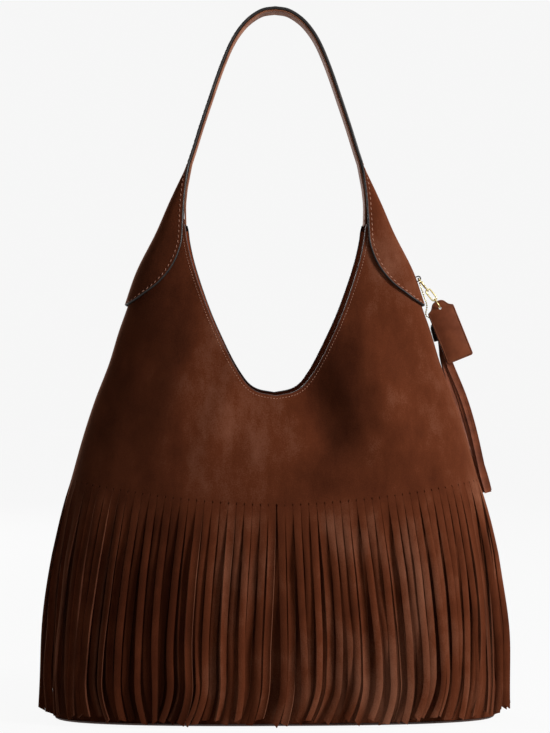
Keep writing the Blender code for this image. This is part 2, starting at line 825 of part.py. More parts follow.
def make_gate():
    """The sprung gate that closes the bow of the hook, with a small nub for the thumb."""
    down = tilted(HOOK_TILT)
    across = Vector((0.0, -1.0, 0.0))
    hinge = gate_hinge()
    start = HOOK_PIVOT + down * GATE_START + across * HOOK_HALF_WIDTH
    middle = start.lerp(hinge, 0.5) + across * (GATE_RADIUS * 0.4)
    gate = wire("clasp_gate", [start, middle, hinge], GATE_RADIUS, "brass")
    nub_end = middle + across * (GATE_RADIUS + GATE_NUB)
    nub = hide_guide(wire("clasp_gate_nub", [middle, nub_end], GATE_RADIUS * 0.8, None))
    boolean(gate, nub, "UNION")
    set_pivot(gate, hinge)
    return gate


def gate_hinge():
    down = tilted(HOOK_TILT)
    return HOOK_PIVOT + down * GATE_END - Vector((0.0, GATE_OFFSET, 0.0))


def make_link():
    """The long link between the eye of the hook and the ring of the tag."""
    down = tilted(HOOK_TILT)
    across = Vector((math.cos(HOOK_TILT), 0.0, math.sin(HOOK_TILT)))
    start = LINK_PIVOT - down * (EYE_WIRE + LINK_WIRE + GAP)
    points = oval(start, down, across, LINK_LENGTH, LINK_HALF_WIDTH)
    link = wire("link", points, LINK_WIRE, "brass", closed=True)
    set_pivot(link, LINK_PIVOT)
    return link


def make_tag_ring():
    """The ring that holds the tag: it passes through the link above and the tag's hole below."""
    down = tilted(RING_TILT)
    centre = RING_PIVOT + down * RING_RADIUS
    hoop = ring("tag_ring", centre, down, Vector((0.0, 1.0, 0.0)), RING_RADIUS, RING_WIRE, "brass")
    set_pivot(hoop, RING_PIVOT)
    return hoop


def make_tag():
    """The leather hang tag, cut with a rounded crown, square shoulders and a hole for its ring."""
    down = tilted(TAG_TILT)
    across = Vector((math.cos(TAG_TILT), 0.0, math.sin(TAG_TILT)))
    crown = [Vector(p) for p in smooth_path([(*p, 0.0) for p in TAG_CROWN], 2)]
    right = [(p.x, p.y) for p in crown]
    corner = []
    for n in range(4):
        turn = math.radians(30 * n)
        corner.append(
            (
                TAG_HALF_WIDTH - TAG_CORNER * (1 - math.sin(turn)),
                -TAG_LENGTH + TAG_CORNER * (1 - math.cos(turn)),
            )
        )
    shoulder = (TAG_HALF_WIDTH, -TAG_CORNER)
    half = [*corner, shoulder, *right]
    flat = half + [(-x, y) for x, y in reversed(half[:-1])]
    hole = []
    for n in range(12):
        turn = math.tau * n / 12
        hole.append((TAG_HOLE * math.cos(turn), TAG_HOLE * math.sin(turn)))
    outlines = []
    for points in (flat, hole):
        placed = [TAG_PIVOT + across * x - down * y for x, y in points]
        outlines.append([(p.x, p.z) for p in placed])
    low, high = CHARM_Y - TAG_THICKNESS / 2, CHARM_Y + TAG_THICKNESS / 2
    tag = extruded_outline("hang_tag", outlines, low, high, "leather")
    set_pivot(tag, TAG_PIVOT)
    return tag


def chain_path():
    """The line of the bead chain, from its ring down along the side of the bag to the tassel."""
    reach = CHAIN_RING_RADIUS + CHAIN_RING_WIRE + BEAD_RADIUS + GAP / 2
    inwards = Vector((math.cos(HOOK_TILT), 0.0, math.sin(HOOK_TILT))) * -math.sin(CHAIN_TURN)
    top = TASSEL_PIVOT + (inwards + Vector((0.0, math.cos(CHAIN_TURN), 0.0))) * reach
    stand = BEAD_RADIUS + GAP * 2
    points = [top]
    for share, y in ((0.30, -0.0010), (0.60, 0.0012), (0.85, 0.0032)):
        z = top.z + (TASSEL_TOP - top.z) * share
        x = strap_reach(z) + stand
        points.append(Vector((x, y, z)))
    points.append(tassel_axis(TASSEL_TOP + GAP * 2))
    return smooth_path(points, 3)


def strap_reach(height):
    """How far the bag reaches to the right at a height, with the strap's end where it covers it."""
    cover = SPADE_GAP + STRAP_LEATHER + 0.0006 if height > SPADE_EDGE[0][0] - 0.004 else 0.0
    return skin(0.0, height, cover, FRONT).x


def tassel_axis(height):
    """The middle of the tassel's cap at a height."""
    low = skin(0.0, TASSEL_TOP - CAP_LENGTH, 0.0, FRONT).x + CAP_RADIUS + GAP * 3
    x = low - (height - (TASSEL_TOP - CAP_LENGTH)) * math.tan(TASSEL_TILT)
    return Vector((x, CAP_CENTRE_Y, height))


def make_chain_ring():
    """The small ring that carries the bead chain on the back arm of the hook's bow."""
    square = Vector((math.cos(HOOK_TILT), 0.0, math.sin(HOOK_TILT)))
    across = Vector((0.0, 1.0, 0.0))
    hoop = ring(
        "chain_ring", TASSEL_PIVOT, across, square, CHAIN_RING_RADIUS, CHAIN_RING_WIRE, "brass"
    )
    set_pivot(hoop, TASSEL_PIVOT)
    return hoop


def make_bead_chain():
    """A ball chain: beads on a fine wire, made as one string whose radius swells at each bead."""
    path = chain_path()
    length = sum((b - a).length for a, b in zip(path, path[1:]))
    beads = max(int(length / BEAD_PITCH), 2)
    stations = evenly(path, beads * 3)
    sides = 5
    bm = bmesh.new()
    rows = []
    for n, p in enumerate(stations):
        ahead = (stations[min(n + 1, len(stations) - 1)] - stations[max(n - 1, 0)]).normalized()
        first = ahead.cross(Vector((0.0, 1.0, 0.0))).normalized()
        second = ahead.cross(first)
        swell = (0.75, 0.75, 0.0)[n % 3]
        radius = BEAD_NECK + (BEAD_RADIUS - BEAD_NECK) * swell
        turns = [math.tau * k / sides for k in range(sides)]
        rows.append([p + (first * math.cos(t) + second * math.sin(t)) * radius for t in turns])
    grid = loft(bm, rows, False, closed=True)
    bm.faces.new(grid[0])
    bm.faces.new(grid[-1])
    bmesh.ops.recalc_face_normals(bm, faces=bm.faces)
    chain = from_bmesh("bead_chain", bm, "brass")
    set_pivot(chain, TASSEL_PIVOT)
    return chain


def make_tassel_cap():
    """The cap of the tassel, a cup of leather over the rolled tops of the strips."""
    top, low = tassel_axis(TASSEL_TOP), tassel_axis(TASSEL_TOP - CAP_LENGTH)
    axis = (top - low).normalized()
    length = (top - low).length
    inner = CAP_RADIUS - CAP_WALL
    profile = [
        (0.0, length),
        (CAP_RADIUS * 0.45, length - 0.0004),
        (CAP_RADIUS * 0.85, length - 0.0030),
        (CAP_RADIUS, length - 0.0070),
        (CAP_RADIUS, 0.0),
        (inner, 0.0),
        (inner, length - 0.0072),
        (inner * 0.85, length - 0.0044),
        (0.0, length - 0.0030),
    ]
    cap = turned("tassel_cap", profile, low, axis, "leather", steps=14)
    set_pivot(cap, TASSEL_PIVOT)
    return cap


def strip_points(number):
    """The line of one tassel strip, from inside the cap down the side of the bag."""
    spread = number - (TASSEL_STRIPS - 1) / 2
    low = tassel_axis(TASSEL_TOP - CAP_LENGTH)
    top = tassel_axis(TASSEL_TOP - CAP_LENGTH * 0.62)
    points = [top + Vector((0.0, spread * STRIP_PITCH_TOP, 0.0))]
    points.append(low + Vector((0.0, spread * STRIP_PITCH_TOP, 0.0)))
    shift = 0.0012 * math.sin(2.1 * number)
    tip = TASSEL_TIP + 0.004 * (0.5 + 0.5 * math.sin(1.7 * number + 0.5))
    for n in range(1, STRIP_STEPS + 1):
        share = n / STRIP_STEPS
        z = low.z - 0.010 + (tip - low.z + 0.010) * share
        y = CAP_CENTRE_Y + spread * (STRIP_PITCH_TOP + (STRIP_PITCH_TIP - STRIP_PITCH_TOP) * share)
        x = skin(0.0, z, 0.0, FRONT).x + STRIP_STAND + shift * share
        x += (low.x - skin(0.0, low.z, 0.0, FRONT).x - STRIP_STAND) * (1 - share) ** 2
        points.append(Vector((x, y, z)))
    return points


def make_tassel_strips():
    """The strips of the tassel, cut from one sheet that is rolled up inside the cap."""
    top = tassel_axis(TASSEL_TOP - CAP_LENGTH * 0.50)
    low = tassel_axis(TASSEL_TOP - CAP_LENGTH * 0.95)
    radius = CAP_RADIUS - CAP_WALL - GAP
    length = (top - low).length
    profile = [(0.0, length), (radius, length), (radius, 0.0), (0.0, 0.0)]
    roll = turned("tassel_strips", profile, low, (top - low).normalized(), "suede", steps=14)
    for number in range(TASSEL_STRIPS):
        points = strip_points(number)
        bm = bmesh.new()
        rows = []
        for n, p in enumerate(points):
            ahead = (points[min(n + 1, len(points) - 1)] - points[max(n - 1, 0)]).normalized()
            across = Vector((0.0, 1.0, 0.0)).cross(ahead).normalized()
            twist = math.radians(12) * math.sin(number * 1.3) * n / len(points)
            across = (across + Vector((0.0, math.tan(twist), 0.0))).normalized()
            rows.append([p - across * STRIP_WIDTH / 2, p + across * STRIP_WIDTH / 2])
        loft(bm, rows, True)
        strip = from_bmesh(f"tassel_strip_{number + 1}", bm, None)
        shell = solidify(strip, STRIP_THICKNESS)
        shell.offset = 0.0
        boolean(roll, hide_guide(strip), "UNION")
    set_pivot(roll, TASSEL_PIVOT)
    return roll


for old in list(bpy.data.objects):
    bpy.data.objects.remove(old)
PARTS = bpy.data.collections.new("Fringed suede bag")
CUTTERS = bpy.data.collections.new("Cutters")
bpy.context.scene.collection.children.link(PARTS)
bpy.context.scene.collection.children.link(CUTTERS)
MATERIALS = {name: make_material(name) for name in PALETTE}

LINING_DEPTH = SUEDE + GAP + WALL + GAP
SNAP_SEAT = 0.0
STRAP_FACE = SPADE_GAP + STRAP_LEATHER
GATE_CLEAR = 0.0003
LINK_PIVOT = HOOK_PIVOT + tilted(HOOK_TILT) * (HOOK_LENGTH + HOOK_NECK + 2 * EYE_RADIUS)
RING_PIVOT = LINK_PIVOT + tilted(HOOK_TILT) * (
    LINK_LENGTH - EYE_WIRE - 2 * LINK_WIRE - 2 * GAP - RING_WIRE
)
TAG_PIVOT = RING_PIVOT + tilted(RING_TILT) * (2 * RING_RADIUS)
TASSEL_PIVOT = (
    HOOK_PIVOT + tilted(HOOK_TILT) * CHAIN_HANG + Vector((0.0, HOOK_HALF_WIDTH, 0.0))
)

make_panel("front_panel", FRONT)
make_panel("back_panel", BACK)
make_wall("front_wall", FRONT)
make_wall("back_wall", BACK)
make_base()
make_lining()
make_pocket()
make_facing("front_facing", FRONT)
make_facing("back_facing", BACK)
make_snap("snap_front", FRONT)
make_snap("snap_back", BACK)
make_strap()
make_strap_lining()
make_side_loop()
make_hook()
make_gate()
make_link()
make_tag_ring()
make_tag()
make_chain_ring()
make_bead_chain()
make_tassel_cap()
make_tassel_strips()
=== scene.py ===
"""The look of a fringed suede shoulder bag: suede, fringe, stitches, strap, lining and charm."""

import math
import random
from types import SimpleNamespace

import bmesh
import bpy
import numpy as np
from mathutils import Matrix, Vector
from mathutils.bvhtree import BVHTree


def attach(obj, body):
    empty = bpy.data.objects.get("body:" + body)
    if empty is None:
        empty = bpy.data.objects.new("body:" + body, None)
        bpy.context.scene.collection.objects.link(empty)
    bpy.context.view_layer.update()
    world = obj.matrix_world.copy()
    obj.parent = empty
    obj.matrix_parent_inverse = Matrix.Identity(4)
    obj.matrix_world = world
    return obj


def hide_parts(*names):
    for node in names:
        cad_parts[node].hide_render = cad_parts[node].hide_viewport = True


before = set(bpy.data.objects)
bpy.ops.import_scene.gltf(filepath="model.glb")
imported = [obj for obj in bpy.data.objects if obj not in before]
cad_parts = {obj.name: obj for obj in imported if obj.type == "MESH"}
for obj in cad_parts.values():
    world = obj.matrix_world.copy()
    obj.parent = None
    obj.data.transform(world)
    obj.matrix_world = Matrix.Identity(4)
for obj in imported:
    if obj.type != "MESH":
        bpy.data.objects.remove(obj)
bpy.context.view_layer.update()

FRONT = -1
BACK = 1
NAMES = {FRONT: "front", BACK: "back"}

# Sheets: thickness of each, the clearance between them, and the depth under the body's outer face
SUEDE = 0.0016
GAP = 0.0004
WALL = 0.0014
FACING = 0.0014
LINING = 0.0008
POCKET = 0.0010
SPADE_GAP = 0.0009
STRAP_LEATHER = 0.0022
STRAP_LINING = 0.0014
BASE = 0.0025
WALL_DEPTH = SUEDE + GAP
LINING_DEPTH = WALL_DEPTH + WALL + GAP

# The outer face of the body: height, half width, half depth, squareness of the section
BODY = (
    (0.000, 0.1965, 0.0600, 2.60), (0.060, 0.1955, 0.0620, 2.60), (0.120, 0.1925, 0.0615, 2.50),
    (0.165, 0.1880, 0.0595, 2.40), (0.197, 0.1830, 0.0570, 2.35), (0.218, 0.1775, 0.0550, 2.30),
    (0.250, 0.1685, 0.0505, 2.25), (0.279, 0.1590, 0.0460, 2.25), (0.313, 0.1460, 0.0405, 2.35),
    (0.340, 0.1378, 0.0360, 2.60), (0.362, 0.1300, 0.0320, 2.90), (0.390, 0.1203, 0.0270, 3.40),
    (0.427, 0.1018, 0.0200, 4.60), (0.452, 0.0908, 0.0155, 8.00), (0.478, 0.0784, 0.0125, 18.0),
)
ARM_TOP = 0.468
# The large slouches: place across, height, reach across, reach in height, depth
SLOUCHES = {
    FRONT: (
        (0.014, 0.282, 0.046, 0.062, 0.0100),
        (-0.085, 0.255, 0.034, 0.070, -0.0030),
        (0.098, 0.262, 0.028, 0.060, -0.0022),
    ),
    BACK: ((-0.006, 0.280, 0.050, 0.060, 0.0085), (0.082, 0.250, 0.036, 0.066, -0.0026)),
}
# The small folds: place across, height, reach across, reach in height, lean, how far they stand out
FOLDS = {
    FRONT: (
        (-0.050, 0.262, 0.016, 0.060, 0.35, 0.0022), (0.060, 0.286, 0.014, 0.060, -0.40, 0.0020),
        (0.036, 0.262, 0.013, 0.045, -0.25, -0.0018), (-0.104, 0.300, 0.018, 0.055, 0.30, -0.0016),
        (0.118, 0.300, 0.014, 0.050, -0.25, -0.0014), (-0.012, 0.240, 0.024, 0.020, 0.0, 0.0014),
        (-0.138, 0.250, 0.012, 0.050, 0.20, 0.0012), (-0.088, 0.290, 0.032, 0.080, 0.25, 0.0030),
        (-0.146, 0.275, 0.024, 0.060, 0.25, -0.0022), (0.040, 0.282, 0.022, 0.060, -0.20, -0.0026),
        (0.088, 0.290, 0.022, 0.075, -0.30, 0.0034), (0.150, 0.290, 0.020, 0.070, -0.30, -0.0016),
    ),
    BACK: (
        (0.048, 0.268, 0.016, 0.055, -0.35, 0.0018), (-0.066, 0.275, 0.015, 0.060, 0.35, 0.0018),
        (-0.100, 0.296, 0.020, 0.050, 0.20, -0.0016), (0.112, 0.290, 0.018, 0.050, -0.25, -0.0014),
    ),
}
FOLD_SCALE = 1.35
MOUTH_EDGE = (
    (0.0000, 0.2840), (0.0145, 0.2868), (0.0235, 0.2920), (0.0305, 0.3005), (0.0387, 0.3140),
    (0.0488, 0.3344), (0.0580, 0.3550), (0.0665, 0.3780), (0.0740, 0.4020), (0.0780, 0.4200),
    (0.0797, 0.4320), (0.0835, 0.4420), (0.0900, 0.4510), (0.1050, 0.4580),
)
BACK_MOUTH_INSET = 0.0022
FACING_WIDTH = 0.022

# The fringe
STRANDS = 60
SLIT_HEIGHT = 0.1910
SLIT_RISE = 0.0190
SLIT_RISE_REACH = 0.180
SLIT_RISE_POWER = 1.6
STRAND_TIP = 0.0030
STRAND_FLARE = 0.0070
STRAND_SIDE_FLARE = 0.0030
STRAND_STAGGER = 0.0020
STRAND_SWAY = 0.0040
# How many strands one wave of the sway takes, and between which places the front ones turn further
SWAY_WAVE = 22
TURNED = (-0.125, -0.050)
STRAND_SHARES = (-1.0, -0.62, 0.0, 0.62)
HOLE_RADIUS = 0.0006
# How far down the strand each row near the slit's hole lies, and how much it narrows each edge
HOLE_ROWS = ((0.0003, 0.00042), (0.0008, 0.00056), (0.0013, 0.00034), (0.0018, 0.00006))
# How far the tips of the front strands are swept to the right, by their place across
TIP_SWEEP = (
    (-0.200, 0.0000), (-0.160, 0.0035), (-0.115, 0.0070), (-0.101, 0.0050), (-0.093, -0.0020),
    (-0.082, -0.0085), (-0.060, -0.0080), (-0.035, -0.0045), (0.000, -0.0040), (0.050, -0.0060),
    (0.100, -0.0075), (0.150, -0.0060), (0.200, -0.0020),
)
SWEEP_SCALE = 1.35
BACK_SWEEP_SHARE = 0.8

# The strap: front edge of its flared end, as height and distance from the middle of the bag
SPADE_EDGE = (
    (0.3628, 0.1292), (0.3650, 0.1258), (0.3690, 0.1200), (0.3740, 0.1135), (0.3820, 0.1030),
    (0.3950, 0.0920), (0.4080, 0.0855), (0.4210, 0.0822), (0.4350, 0.0815), (0.4500, 0.0808),
    (0.4640, 0.0796), (0.4780, 0.0772),
)
SPADE_ROUND = 0.012
STRAP_HALF_WIDTH = 0.0125
STRAP_LINE = (
    (0.0768, 0.4900), (0.0732, 0.5010), (0.0670, 0.5210), (0.0600, 0.5420), (0.0522, 0.5650),
    (0.0462, 0.5810), (0.0400, 0.5950), (0.0330, 0.6065), (0.0240, 0.6165), (0.0120, 0.6240),
    (0.0000, 0.6260),
)
ARCH_STEPS = 56
# The lining of the strap where it goes down inside an arm: height and distance from the middle
TONGUE = ((0.4340, 0.0797), (0.4500, 0.0800), (0.4640, 0.0789), (0.4780, 0.0765), (0.4892, 0.0744))

TONGUE_TOP = 0.4840
STRAP_LINING_INSET = 0.0010

# The charm
CHARM_Y = -0.0080
HOOK_PIVOT = Vector((0.1262, CHARM_Y, 0.3870))
HOOK_TILT = math.radians(38.5)
HOOK_WIRE = 0.0007
HOOK_HALF_WIDTH = 0.0034
HOOK_LENGTH = 0.0088
HOOK_NECK = 0.0014
EYE_RADIUS = 0.0020
EYE_WIRE = 0.0006
LINK_PIVOT = Vector((0.13504, CHARM_Y, 0.37589))
LINK_LENGTH = 0.0118
LINK_HALF_WIDTH = 0.0023
LINK_WIRE = 0.0007
RING_PIVOT = Vector((0.14027, CHARM_Y, 0.36931))
RING_RADIUS = 0.0049
RING_WIRE = 0.0006
RING_TILT = math.radians(32)
TAG_PIVOT = Vector((0.14546, CHARM_Y, 0.36100))
TAG_TILT = math.radians(22)
TAG_THICKNESS = 0.0026
TAG_HALF_WIDTH = 0.0125
TAG_LENGTH = 0.0490
TAG_CORNER = 0.0025
TAG_HOLE = 0.0012
TAG_INSET = 0.0003
TAG_CROWN = (
    (0.0122, -0.0008), (0.0106, 0.0002), (0.0088, 0.0012), (0.0074, 0.0030), (0.0058, 0.0054),
    (0.0034, 0.0069), (0.0000, 0.0074),
)
TASSEL_PIVOT = Vector((0.12881, -0.0046, 0.38371))
CHAIN_RING_RADIUS = 0.0015
CHAIN_RING_WIRE = 0.0004
CHAIN_TURN = math.radians(20)
CHAIN_WIRE = 0.00025
BEAD_RADIUS = 0.0008
BEAD_PITCH = 0.0020
CAP_RADIUS = 0.0062
CAP_WALL = 0.0010
CAP_LENGTH = 0.0170
CAP_CENTRE_Y = 0.0050
TASSEL_TOP = 0.3500
TASSEL_TIP = 0.1960
TASSEL_TILT = math.radians(16)
TASSEL_STRIPS = 6
STRIP_WIDTH = 0.0062
STRIP_STAND = 0.0056
STRIP_LEATHER = 0.0011
STRIP_WIDTH_IN_CAP = 0.0046
STRIP_PITCH = 0.0012
SECOND_LAYER = 0.0011
STRIP_SHARES = (-1.0, -0.6, 0.0, 0.6, 1.0)
GATE_HINGE = Vector((0.13025, -0.0111, 0.38191))
GATE_WIRE = 0.0006
GATE_START = 0.0032
GATE_END = 0.0065
DEPTHWISE = Vector((0.0, 1.0, 0.0))

SHARP_ANGLE = math.radians(50)

# The camera: its distance, the height of what it sees, and its turn about the bag
CAMERA_DISTANCE = 2.0
VIEW_HEIGHT = 733 * 0.000884
CAMERA_YAW = math.radians(-1.5)
CAMERA_TARGET = Vector((0.0, 0.0, 0.3095))
SENSOR = 24.0

# How bright the floor and the world look, how much of the shadow the floor keeps, and its radius
FLOOR_GLOW = 0.925
FLOOR_SHADE = 0.035
FLOOR_RADIUS = 9.0
WORLD_LIGHT = 0.05
WHITE = (1.0, 1.0, 1.0, 1.0)
# Each lamp: place, what it points at, sides of its rectangle, power
LAMPS = {
    "key": ((1.5, -0.8, 0.85), (0.0, 0.0, 0.28), (0.45, 0.45), 43.0),
    "fill": ((-0.6, -2.6, 0.8), (0.0, 0.0, 0.25), (1.6, 1.6), 4.0),
    "top": ((0.3, -0.2, 2.2), (0.0, 0.0, 0.3), (1.2, 0.8), 9.0),
    "back": ((-1.1, 2.3, 1.3), (0.0, 0.0, 0.28), (1.2, 1.0), 34.0),
}


# Curves and the body's surface


def smooth_value(knots, x, column=1):
    """Values at x of one column of knots, on a smooth curve that never overshoots a knot."""
    xs = np.array([k[0] for k in knots])
    ys = np.array([k[column] for k in knots])
    x = np.clip(np.asarray(x, float), xs[0], xs[-1])
    i = np.clip(np.searchsorted(xs, x) - 1, 0, len(xs) - 2)
    steps = np.diff(xs)
    slopes = np.diff(ys) / steps
    product = slopes[:-1] * slopes[1:]
    total = slopes[:-1] + slopes[1:]
    safe = np.where(product > 0, total, 1.0)
    inner = np.where(product > 0, 2 * product / safe, 0.0)
    tangent = np.concatenate([[slopes[0]], inner, [slopes[-1]]])
    step = steps[i]
    t = (x - xs[i]) / step
    return (
        ys[i] * (1 + 2 * t) * (1 - t) ** 2
        + tangent[i] * step * t * (1 - t) ** 2
        + ys[i + 1] * t * t * (3 - 2 * t)
        + tangent[i + 1] * step * t * t * (t - 1)
    )


def smooth_step(x, low, high):
    t = np.clip((np.asarray(x, float) - low) / (high - low), 0, 1)
    return t * t * (3 - 2 * t)


def folds(x, z, side):
    """How far the soft faces stand out or sink in, beside the large slouches, from small folds."""
    total = np.zeros(np.broadcast(x, z).shape)
    for across, up, reach, rise, lean, height in FOLDS[side]:
        dx = (x - across) - (z - up) * lean
        total = total + height * np.exp(-((dx / reach) ** 2) - ((z - up) / rise) ** 2)
    fade = smooth_step(z, 0.212, 0.240) * (1 - smooth_step(z, 0.330, 0.362))
    return total * fade * FOLD_SCALE


def face(angle, height, side):
    """Points of the body's outer face: angle 0 is the right side seam and pi the left one."""
    angle, height = np.broadcast_arrays(np.asarray(angle, float), np.asarray(height, float))
    half_width = smooth_value(BODY, height, 1)
    half_depth = smooth_value(BODY, height, 2)
    power = 2 / smooth_value(BODY, height, 3)
    c, s = np.cos(angle), np.sin(angle)
    x = half_width * np.sign(c) * np.abs(c) ** power
    y = side * half_depth * np.sign(s) * np.abs(s) ** power
    share = np.minimum(np.abs(s) * 2, 1)
    for across, up, reach, rise, depth in SLOUCHES[side]:
        bump = np.exp(-(((x - across) / reach) ** 2) - ((height - up) / rise) ** 2)
        y = y - side * depth * bump * share
    y = y + side * folds(x, height, side) * share**2
    return np.stack([x, y, height], axis=-1)


def skin(angle, height, out, side):
    """Points at a distance outside the body's face, measured square to it."""
    angle, height = np.broadcast_arrays(np.asarray(angle, float), np.asarray(height, float))
    low = np.maximum(height - 0.002, 0.0)
    high = np.minimum(height + 0.002, BODY[-1][0])
    along = face(angle + 0.01, height, side) - face(angle - 0.01, height, side)
    up = face(angle, high, side) - face(angle, low, side)
    normal = np.cross(up, along) * -side
    normal /= np.linalg.norm(normal, axis=-1, keepdims=True)
    return face(angle, height, side) + normal * np.asarray(out, float)[..., None]


def outward(angle, height, side):
    """The direction square to the body's face."""
    return (skin(angle, height, 0.001, side) - skin(angle, height, 0.0, side)) / 0.001


def angle_at(x, height):
    """The angle on the face at a distance across and a height."""
    half_width = smooth_value(BODY, height, 1)
    share = np.clip(np.abs(x) / half_width, 0, 0.99995)
    return np.arccos(np.sign(x) * share ** (smooth_value(BODY, height, 3) / 2))


def on_face(line, side, out):
    """Points and outward directions on the body's face along a line of places and heights."""
    angles = angle_at(line[:, 0], line[:, 1])
    return skin(angles, line[:, 1], np.full(len(line), out), side), outward(angles, line[:, 1], side)


def slit_height(x):
    return SLIT_HEIGHT + SLIT_RISE * (np.abs(x) / SLIT_RISE_REACH) ** SLIT_RISE_POWER


def run_of(points):
    """How far along a line each of its points lies."""
    return np.concatenate([[0.0], np.cumsum(np.linalg.norm(np.diff(points, axis=0), axis=1))])


def strand_edges():
    """Angles of the slits, evenly spaced along the slit line from seam to seam, and their pitch."""
    angles = np.linspace(0.0, math.pi, 800)
    run = run_of(face(angles, SLIT_HEIGHT, FRONT))
    return np.interp(np.linspace(0.0, run[-1], STRANDS + 1), run, angles), run[-1] / STRANDS


STRAND_EDGES, STRAND_PITCH = strand_edges()


def smooth_path(points, steps):
    """A smooth line through points, with some steps from each to the next."""
    p = np.array(points, float)
    p = np.vstack([2 * p[0] - p[1], p, 2 * p[-1] - p[-2]])
    line = []
    for a, b, c, d in zip(p, p[1:], p[2:], p[3:]):
        for t in (n / steps for n in range(steps)):
            bend = (2 * a - 5 * b + 4 * c - d) * t**2 + (3 * b - a - 3 * c + d) * t**3
            line.append(0.5 * (2 * b + (c - a) * t + bend))
    line.append(p[-2])
    return np.array(line)


def sampled(spots, run, points):
    """The points of a line at distances along it."""
    return np.stack([np.interp(spots, run, points[:, k]) for k in range(points.shape[1])], axis=-1)


def evenly(points, count):
    """A line again, as count + 1 points evenly spaced along it."""
    points = np.asarray(points, float)
    run = run_of(points)
    return sampled(np.linspace(0.0, run[-1], count + 1), run, points)


def unit(v):
    v = np.asarray(v, float)
    return v / np.maximum(np.linalg.norm(v, axis=-1, keepdims=True), 1e-12)


# Materials


def colour(r, g, b):
    """A screen colour from 0 to 255 as the linear colour that a shader takes."""
    return tuple((c / 255 / 12.92) if c < 11 else ((c / 255 + 0.055) / 1.055) ** 2.4 for c in (r, g, b))


def fill_inputs(tree, node, inputs):
    """Sets a node's inputs: each is given a value or another node's output."""
    for key, value in inputs.items():
        if isinstance(value, bpy.types.NodeSocket):
            tree.links.new(value, node.inputs[key])
        else:
            node.inputs[key].default_value = value


def add_node(tree, kind, inputs, **settings):
    """A new node of a tree, with its inputs filled, as its outputs."""
    node = tree.nodes.new("ShaderNode" + kind)
    for name, value in settings.items():
        setattr(node, name, value)
    fill_inputs(tree, node, inputs)
    return node.outputs


class Look:
    """A procedural material: patches of colour by place, and bumps by place."""

    def __init__(self, name, roughness, metallic=0.0, sheen=0.0, specular=0.5, tint=None):
        self.material = bpy.data.materials.new(name)
        self.material.use_nodes = True
        self.tree = self.material.node_tree
        self.place = self.add("TexCoord", {})["Object"]
        self.normal = None
        self.shade("Roughness", roughness)
        self.shade("Metallic", metallic)
        self.shade("Specular IOR Level", specular)
        self.shade("Sheen Weight", sheen)
        self.shade("Sheen Roughness", 0.5)
        if tint:
            self.shade("Sheen Tint", (*colour(*tint), 1.0))

    def add(self, kind, inputs, **settings):
        return add_node(self.tree, kind, inputs, **settings)

    def shade(self, name, value):
        """Sets or links one input of the shader."""
        fill_inputs(self.tree, self.tree.nodes["Principled BSDF"], {name: value})

    def stretched(self, x, y, z):
        """The place, stretched along the axes."""
        return self.add("Mapping", {"Vector": self.place, "Scale": (x, y, z)})["Vector"]

    def noise(self, scale, detail=2.0, roughness=0.5, place=None):
        place = place or self.place
        inputs = {"Vector": place, "Scale": scale, "Detail": detail, "Roughness": roughness}
        return self.add("TexNoise", inputs)["Fac"]

    def wave(self, scale, axis, distortion=0.0):
        inputs = {"Vector": self.place, "Scale": scale, "Distortion": distortion}
        return self.add("TexWave", inputs, bands_direction=axis)["Fac"]

    def cells(self, scale):
        return self.add("TexVoronoi", {"Vector": self.place, "Scale": scale})["Distance"]

    def math(self, operation, a, b):
        return self.add("Math", {0: a, 1: b}, operation=operation)["Value"]

    def mapped(self, value, low, high, to_low=0.0, to_high=1.0):
        """A value between low and high stretched to another range, 0 to 1 if none is given."""
        ends = {"From Min": low, "From Max": high, "To Min": to_low, "To Max": to_high}
        return self.add("MapRange", {"Value": value, **ends})["Result"]

    def share_along(self, axis, low, high):
        """The place along an axis, from 0 at the low one to 1 at the high one."""
        return self.mapped(self.add("SeparateXYZ", {"Vector": self.place})[axis], low, high)

    def painted_shade_across(self, knots):
        """A value that follows the place across the piece through the knots."""
        low, high = knots[0][0], knots[-1][0]
        node = self.tree.nodes.new("ShaderNodeFloatCurve")
        points = node.mapping.curves[0].points
        while len(points) < len(knots):
            points.new(0.5, 0.5)
        for point, (x, tone) in zip(points, knots):
            point.location = ((x - low) / (high - low), tone + 0.5)
        node.mapping.update()
        fill_inputs(self.tree, node, {"Value": self.share_along("X", low, high)})
        return self.math("SUBTRACT", node.outputs["Value"], 0.5)

    def colours(self, value, *stops):
        """Colours the surface along a value from 0 to 1."""
        ramp = self.tree.nodes.new("ShaderNodeValToRGB")
        elements = ramp.color_ramp.elements
        while len(elements) < len(stops):
            elements.new(0.5)
        for element, (position, rgb) in zip(elements, stops):
            element.position = position
            element.color = (*colour(*rgb), 1.0)
        fill_inputs(self.tree, ramp, {"Fac": value})
        self.shade("Base Color", ramp.outputs["Color"])

    def rough(self, value, low, high):
        self.shade("Roughness", self.mapped(value, 0.3, 0.7, low, high))

    def bump(self, value, distance, strength=1.0):
        inputs = {"Height": value, "Distance": distance, "Strength": strength}
        if self.normal:
            inputs["Normal"] = self.normal
        self.normal = self.add("Bump", inputs)["Normal"]
        self.shade("Normal", self.normal)


# Painted shade across the body and across the fringe, darker where less light falls, as on the left side
# and in the hollow right of the mouth: place across, and tone
PAINTED_SHADE_BODY = (
    (-0.21, -0.26), (-0.12, -0.30), (-0.09, -0.24), (-0.06, 0.06), (0.00, 0.06),
    (0.05, -0.32), (0.09, -0.02), (0.14, 0.00), (0.21, -0.18),
)
PAINTED_SHADE_FRINGE = (
    (-0.21, -0.28), (-0.15, -0.36), (-0.10, -0.44), (-0.07, -0.16), (-0.03, 0.06),
    (0.01, 0.00), (0.05, 0.04), (0.10, 0.12), (0.15, 0.00), (0.21, -0.16),
)


